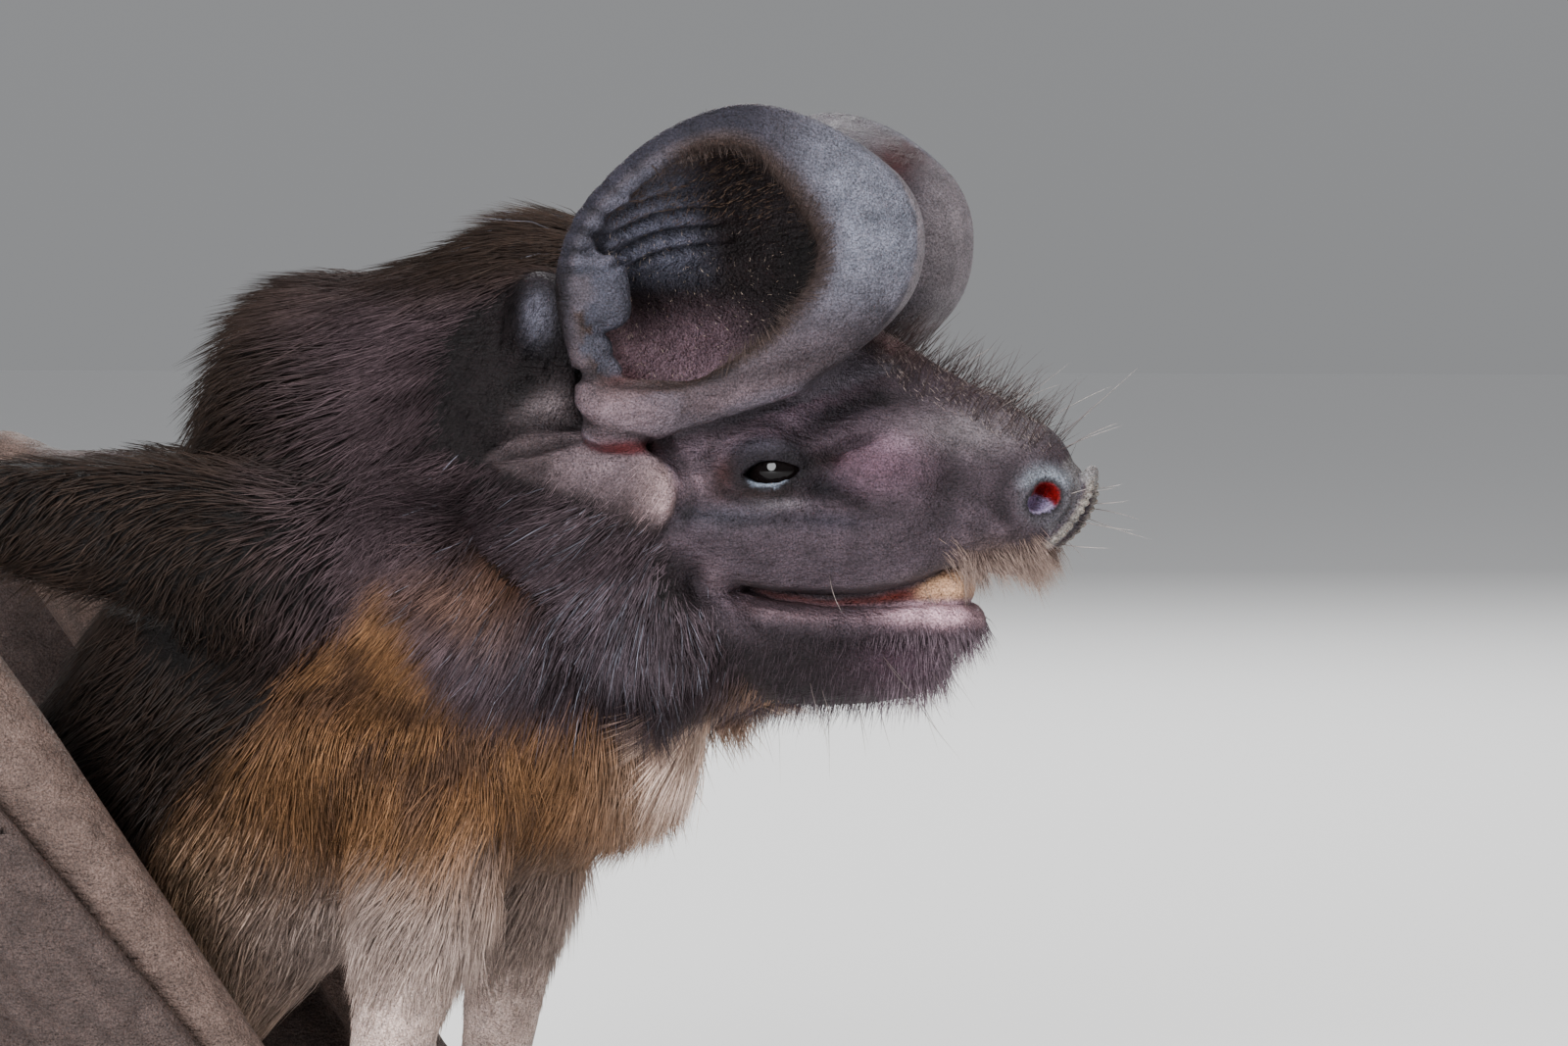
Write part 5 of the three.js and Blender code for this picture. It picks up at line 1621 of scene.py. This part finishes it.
def lip_way(spots, normals):
    wave = waves(spots, 0.5, 41)[:, None]
    return np.array([[0.35, 0, -1.0]]) + np.array([[0.35, 0, 0.1]]) * wave + normals * 0.15


def chin_way(spots, _):
    forward = fall(NOSE_X - spots[:, 0], 8, 13)
    return np.stack([forward * 0.5 - 0.4, np.zeros(len(spots)), -np.ones(len(spots))], axis=1)


def fine_hairs(surface, colours, fur, fuzz):
    """The short hair of the face, ears and limbs, and the whiskers."""
    middle = surface.middle
    x, y, z = middle[:, 0], np.abs(middle[:, 1]), middle[:, 2]
    back = NOSE_X - x
    outward, upward = surface.normal[:, 1] * np.sign(middle[:, 1]), surface.normal[:, 2]
    bare = 1 - np.clip(fur_cover(middle) * 1.4, 0, 1)
    rho, sunk, reach, roll, depth = ear_frame(x, y, z)
    in_ear = within(at(31, 1, 46), at(5, 14, 70), x, y, z) & (rho < reach + 0.6) & (y > 1.2)
    in_ear &= ear_bowl(rho, sunk, reach, depth) < 0.6
    near_eye = np.hypot((x - EYE[0]) / 1.25, z - EYE[2] - 0.2) < 2.1
    near_nose = (back < 4.2) & (z < 48.8) & (z > 42.9)
    upper, lower = lip_edge(back, UPPER_LIP), lip_edge(back, LOWER_LIP)
    inside_mouth = (z > lower - 0.5) & (z < upper + 0.3) & (back < 20)
    head = (back < 34) & (z > 32) & ~in_ear
    face = head & ~near_eye & ~near_nose & ~inside_mouth
    pieces = []

    def patch(name, density, most, seed, lay, length, width, lift, material, rings=1, clump=0.0, gain=1.0,
              bright=0.0, shade=None, pale=None, free=False, spread_of=0.6):
        """One piece of short hair, coloured at its roots and tips by the two colours of a shade, or else
        by the skin it stands on: the tips `gain` times that colour, a share of them `bright`."""
        rng = np.random.default_rng(seed)
        spots, normals = surface.roots(density, most, rng)
        count = len(spots)
        if shade is None:
            own = colours[nearest_corner(surface, spots)]
            base = own * 0.8
            lit = np.where(rng.random((count, 1)) < bright, 2.8, 1.0) * rng.uniform(0.6, 1.4, (count, 1))
            tips = np.clip((own * gain + 0.003) * lit, 0, 0.9)
        else:
            base, tips = (np.tile(tone(*c), (count, 1)) for c in shade)
            tips = tips * rng.uniform(0.7, 1.3, (count, 1))
            if pale is not None:
                tips = tips * pale(spots)[:, None]
        way = lay(spots, normals) if callable(lay) else np.tile(np.array(lay, dtype=float), (count, 1))
        size = length * (1 - spread_of / 2 + spread_of * rng.random(count))
        thing = tufts(
            name, spots, normals, way, size, width, lift, base, tips, rng, rings, 0.3, clump, 0.8, free
        )
        thing.data.materials.append(material)
        pieces.append(thing)

    patch("face_velvet", face * bare * 32, 44000, 201, face_way, 0.42, 0.05, 0.3, fuzz, gain=1.6, bright=0.16)
    patch("ear_velvet", in_ear * 13, 30000, 202, ear_way, 0.36, 0.05, 0.4, fuzz, gain=1.8, bright=0.12)
    limbs = ~head & ~in_ear & (z > 0.6)
    patch("limb_velvet", limbs * bare * 6, 18000, 203, (-0.6, 0, -0.6), 0.55, 0.06, 0.25, fuzz, gain=1.6)

    bowl = in_ear & (rho < reach - 1.6 * roll) & (sunk > 0.4) & (outward > -0.4)
    brown = bowl * fall(back, 17.5, 21) * (z > 54.5) * fall(sunk, 4, 6.5)
    brown = np.clip(brown + bowl * ramp(z, 61, 63), 0, 1)
    patch("ear_hair", brown * 16, 4200, 204, round_way, 0.7, 0.05, 0.5, fuzz, 2, 0.2,
          shade=((40, 29, 24), (104, 84, 70)), spread_of=0.8)
    brim = in_ear & (rho < reach - 1.0 * roll) & (rho > reach - 2.3 * roll) & (np.abs(sunk) < 2.6)
    brim = brim * ramp(z, 52, 54) * fall(back, 21, 25)
    patch("brim_hair", brim * 60, 7000, 211, inward_way, 1.15, 0.055, 0.3, fuzz, 1, 0.2,
          shade=((30, 23, 23), (98, 84, 79)), spread_of=1.0)
    specks = bowl * fall(z, 60, 62) * (sunk > 0.8)
    patch("ear_specks", specks * 5, 1800, 209, round_way, 0.45, 0.06, 0.7, fuzz,
          shade=((90, 76, 70), (176, 158, 142)))

    top = head & (y < 3.2) & (upward > 0.25) & (z > 46.5)
    crest = top * ramp(back, 2.2, 4) * fall(back, 12.5, 14)
    patch("forehead_crest", crest * 8, 700, 205, crest_way, 1.7, 0.042, 0.45, fur, 4, 0.1,
          shade=((40, 30, 30), (70, 56, 54)), free=True, spread_of=1.4)
    patch("forehead_down", crest * 26, 4000, 206, (-0.35, 0, 0.5), 0.5, 0.055, 0.45, fuzz, 2, 0.1,
          shade=((78, 66, 66), (150, 136, 130)))

    behind = ramp(back, 28, 30) * ramp(z, 45.5, 47.5) * fall(z, 57.5, 60) * (back < 39) * (y > 3) * ~in_ear
    patch("neck_velvet", behind * 34, 11000, 210, (-0.5, 0, -0.8), 0.9, 0.06, 0.28, fuzz, 1, 0.3,
          gain=0.8, bright=0.03)
    flap = (antitragus(x, y, z) < 0.35) & (z < 48.6) & (back < 32) & (outward > 0)
    flap = flap * (1 - 0.8 * ramp(z, 45.5, 48.2)) * ramp(back, 22.6, 24.5)
    patch("flap_hair", flap * 90, 5500, 212, (-0.55, 0, -0.75), 1.2, 0.055, 0.3, fuzz, 1, 0.25,
          gain=1.7, bright=0.14)

    lip = (z > upper - 0.1) & (z < upper + 2.1) & (back < 9.0) & (back > 2.8) & (upward > -0.9)
    lip = lip * fall(back, 6.6, 8.4) * (1 - 0.7 * ramp(z - upper, 0.8, 2.1))
    patch("lip_fringe", lip * head * 90, 6000, 207, lip_way, 1.2, 0.034, 0.35, fur, 2, 0.15,
          shade=((74, 58, 54), (180, 156, 144)), free=True, spread_of=1.3)
    chin = head & (z < 39.2) & (back < 23) & (upward < 0.45)
    patch("chin_bristles", chin * (0.5 + fall(back, 9.5, 13)) * 18, 4600, 208, chin_way, 1.1, 0.042, 0.5,
          fur, 2, 0.15, shade=((34, 24, 28), (146, 126, 136)), free=True, spread_of=1.2,
          pale=lambda spots: 1 - 0.75 * ramp(NOSE_X - spots[:, 0], 9.5, 14.5))
    return [*pieces, whiskers(surface, head, fur)]


def whiskers(surface, head, fur):
    """Long single hairs on the muzzle, chin and throat."""
    rng = np.random.default_rng(301)
    x, y, z = surface.middle.T
    back = NOSE_X - x
    groups = [
        (head & (back < 4.6) & (z > 43.4) & (z < 48.4) & (np.abs(y) < 2.0), 9, 3.0, (0.9, 0.0, -0.1)),
        (head & (back < 9) & (z > 48.6) & (np.abs(y) < 2.6), 12, 3.6, (0.75, 0.0, 0.45)),
        (head & (back < 12) & (z < 38), 16, 2.6, (0.6, 0.0, -0.9)),
        (head & (back > 6) & (back < 17) & (z > 40.5) & (z < 45), 9, 2.4, (0.25, 0.0, -0.9)),
        (head & (back > 13) & (back < 22) & (z < 36), 18, 3.0, (0.2, 0.0, -1.0)),
    ]
    roots, outs, ways, lengths = [], [], [], []
    for where, count, length, way in groups:
        spots, normals = surface.roots(where * 50.0, count, rng)
        roots.append(spots)
        outs.append(normals)
        ways.append(np.tile(way, (len(spots), 1)))
        lengths.append(length * rng.uniform(0.6, 1.4, len(spots)))
    spots, normals, way, size = (np.concatenate(v) for v in (roots, outs, ways, lengths))
    base = np.tile(tone(70, 58, 58), (len(spots), 1))
    tips = np.tile(tone(196, 184, 176), (len(spots), 1)) * rng.uniform(0.4, 1.0, (len(spots), 1))
    thing = tufts("whiskers", spots, normals, way, size, 0.048, 0.5, base, tips, rng, 6, 0.35, 0, 1.0, True)
    thing.data.materials.append(fur)
    return thing


CELL = 0.6  # the width of a cell in which the skin's corners are looked up


def nearest_corner(surface, spots):
    """A corner of the skin close to every root: the nearest of one from each of the cells about it."""

    def code(keys):
        return (keys[:, 0] + 4096) * 2**26 + (keys[:, 1] + 4096) * 2**13 + (keys[:, 2] + 4096)

    codes = code(np.floor(surface.places / CELL).astype(np.int64))
    order = np.argsort(codes, kind="stable")
    codes = codes[order]
    wanted = np.floor(spots / CELL).astype(np.int64)
    best = np.zeros(len(spots), dtype=np.int64)
    best_far = np.full(len(spots), 1e9)
    for step in itertools.product((-1, 0, 1), repeat=3):
        near = code(wanted + np.array(step))
        first = np.searchsorted(codes, near).clip(0, len(order) - 1)
        candidate = order[first]
        far = np.linalg.norm(surface.places[candidate] - spots, axis=1)
        better = (codes[first] == near) & (far < best_far)
        best[better], best_far[better] = candidate[better], far[better]
    return best


SKIN_TRIANGLES = 194000


def thin_out(thing, most):
    """Merges triangles where the surface is flattest until no more than `most` are left."""
    triangles = sum(len(p.vertices) - 2 for p in thing.data.polygons)
    thinner = thing.modifiers.new("thinner", "DECIMATE")
    thinner.ratio = most / triangles
    bpy.context.view_layer.objects.active = thing
    bpy.ops.object.modifier_apply(modifier=thinner.name)
    thing.data.polygons.foreach_set("use_smooth", np.ones(len(thing.data.polygons), dtype=bool))


# ---------------------------------------------------------------- the animal
def coat_zones(surface):
    """The coat's pieces: name, where it grows, tufts at most, their length, width and lift."""
    x, y, z = surface.middle.T
    back = NOSE_X - x
    limb_side = np.abs(y) > 12.6 + 3 * (back > 33) * ramp(z, 20, 40)
    nape = (z > 56.5) & (back < 48)
    neck = (z <= 56.5) & (z > 35) & (back < 40) & ~limb_side
    breast = (z <= 35) & (back < 46)
    rest = ~(nape | neck | breast)
    upper = above_axis(x, z) > 1
    return [
        ("nape_coat", nape, 14000, 4.6, 0.13, 0.32),
        ("neck_coat_left", neck & (y > 0), 16500, 4.4, 0.08, 0.28),
        ("neck_coat_right", neck & (y <= 0), 16500, 4.4, 0.08, 0.28),
        ("breast_coat_left", breast & (y > 0), 16300, 4.8, 0.1, 0.32),
        ("breast_coat_right", breast & (y <= 0), 16300, 4.8, 0.1, 0.32),
        ("back_coat", rest & upper & (back < 62), 13500, 4.8, 0.16, 0.26),
        ("belly_coat", rest & ~upper & (back < 62), 13500, 4.4, 0.16, 0.26),
        ("rump_coat", rest & (back >= 62), 9500, 3.6, 0.16, 0.24),
    ]


def hand_over(piece, slot_name, *nodes):
    """Makes a piece move with the root body and hides the nodes it stands for; slot_name, meant for its
    material slot, is not used.
    """
    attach(piece, "root")
    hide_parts(*nodes)


def make_animal():
    """The skin, and the coat that grows on it."""
    places, quads = make_skin()
    skin = mesh_from("skin", places, quads)
    surface = Skin(places.astype(np.float64), quads)
    colours = skin_colours(surface.places, surface.smooth)
    paint(skin.data, colours)
    skin.data.materials.append(hide_material("bat_skin"))
    thin_out(skin, SKIN_TRIANGLES)
    fur = hair_material("bat_fur", rough=0.5, gloss=0.12)
    fuzz = hair_material("bat_fuzz", rough=0.6, gloss=0.08)
    cover = fur_cover(surface.middle)
    pieces = []
    for seed, (name, zone, most, length, width, lift) in enumerate(coat_zones(surface), 100):
        rng = np.random.default_rng(seed)
        spots, normals = surface.roots(cover * zone * 60, most, rng)
        base, tips = fur_colours(spots, rng)
        length = length * (0.35 + 0.65 * fur_cover(spots)) * length_share(spots)
        thing = tufts(name, spots, normals, flow(spots, normals), length, width, lift, base, tips, rng, 2)
        thing.data.materials.append(fur)
        pieces.append(thing)
    pieces += fine_hairs(surface, colours, fur, fuzz)
    hand_over(skin, "skin", *FLESH)
    for piece in pieces:
        hand_over(piece, "fur", *FLESH)


def length_share(spots):
    """How long the coat is at each place, as a share of the zone's own length."""
    back, height = NOSE_X - spots[:, 0], spots[:, 2]
    near_face = ramp(back - np.interp(height, HAIRLINE_HEIGHT, HAIRLINE_BACK), -2, 4)
    tail_end = 1 - 0.5 * ramp(back, 66, 80)
    arm = 1 - 0.45 * ramp(np.abs(spots[:, 1]), 10, 17)
    leg = 1 - 0.5 * fall(height, 16, 26) * (back < 46)
    return (0.25 + 0.75 * near_face) * tail_end * arm * leg


# ---------------------------------------------------------------- eyes and claws
def capped_tube(name, places, rings, sides, start, end):
    """Rings of places, closed by a fan at each end."""
    count, last = rings * sides, (rings - 1) * sides
    faces = tube_faces(rings, sides)
    for k in range(sides):
        faces += [(k, count, (k + 1) % sides), (last + k, last + (k + 1) % sides, count + 1)]
    return mesh_from(name, np.concatenate([places, start[None], end[None]]), np.array(faces))


def ball_mesh(name, centre, radius, sides=48, rows=32):
    """A smooth sphere with its poles across the animal."""
    turn = np.linspace(0, 2 * math.pi, sides, endpoint=False)
    tilt = np.linspace(0, math.pi, rows + 1)[1:-1]
    ring = np.stack([np.cos(turn), np.zeros(sides), np.sin(turn)], axis=1)
    places = np.concatenate([ring * math.sin(t) + np.array([0, math.cos(t), 0]) for t in tilt])
    pole = np.array([0, 1, 0]) * radius
    return capped_tube(name, places * radius + centre, rows - 1, sides, centre + pole, centre - pole)


def claw_mesh(name, root, tip, radius, arch, rings=14, sides=12):
    """A curved claw, narrower than it is deep, with a point."""
    bend = root + (tip - root) * 0.5 + np.array([0, 0, arch])
    t = np.linspace(0, 1, rings)[:, None]
    line = root * (1 - t) ** 2 + 2 * bend * t * (1 - t) + tip * t**2
    tangent = np.gradient(line, axis=0)
    tangent /= np.linalg.norm(tangent, axis=1, keepdims=True)
    side = np.cross(tangent, (0, 0, 1))
    side /= np.linalg.norm(side, axis=1, keepdims=True)
    up = np.cross(tangent, side)
    turn = np.linspace(0, 2 * math.pi, sides, endpoint=False)[None, :, None]
    size = radius * (1 - 0.9 * t**1.5)[:, None]
    across, upward = np.cos(turn) * 0.7 * size, np.sin(turn) * 1.15 * size
    places = (line[:, None] + side[:, None] * across + up[:, None] * upward).reshape(-1, 3)
    places[:, 2] = np.maximum(places[:, 2], 0.03)
    return capped_tube(name, places, rings, sides, root, tip)


def claw_lines():
    """The left claws: node, root, tip, radius and arch."""
    claws = []
    for i in TOES:
        way = toe_tip(i) - toe_root(i)
        way[2] = 0
        way /= np.linalg.norm(way)
        root, tip = toe_tip(i) + way * 0.3, toe_tip(i) + way * 2.65
        root[2], tip[2] = 1.2, 0.32
        claws.append((f"toe_claw_{i + 3}", root, tip, 0.44, 0.75))
    return [*claws, ("thumb_claw", at(29.3, 11.25, 1.55), at(26.6, 10.6, 0.4), 0.55, 0.95)]


def make_eyes_and_claws():
    eye_look = horn_material("bat_eye", (0.003, 0.002, 0.002), 0.04, 800)
    eye_look.node_tree.nodes["Principled BSDF"].inputs["Specular IOR Level"].default_value = 0.13
    claw_look = horn_material("bat_claw", (0.05, 0.038, 0.03), 0.3, 2500, coat=0.3)
    for side, sign in (("left", 1), ("right", -1)):
        flip = np.array([1, sign, 1])
        eyeball = ball_mesh("eyeball_" + side, EYE * flip, EYE_RADIUS - 0.02)
        eyeball.data.materials.append(eye_look)
        for claw, root, tip, radius, arch in claw_lines():
            horn = claw_mesh(f"horn_{claw}_{side}", root * flip, tip * flip, radius, arch)
            horn.data.materials.append(claw_look)
            hand_over(horn, "claw", f"{claw}_{side}")
        hand_over(eyeball, "eye", "eye_" + side)


SINGLE = ["head", "nose_pad", "lower_jaw", "neck", "chest", "belly", "rump", "tail_root", "tail_tip"]
PAIRED = ["ear", "antitragus", "upper_arm", "forearm", "wrist", "thumb", "arm_fold", "folded_fingers"]
PAIRED += ["thigh", "shank", "foot", "tail_membrane", "wing_membrane"]
FLESH = SINGLE + [f"{name}_{side}" for name in PAIRED for side in ("left", "right")]

make_animal()
make_eyes_and_claws()
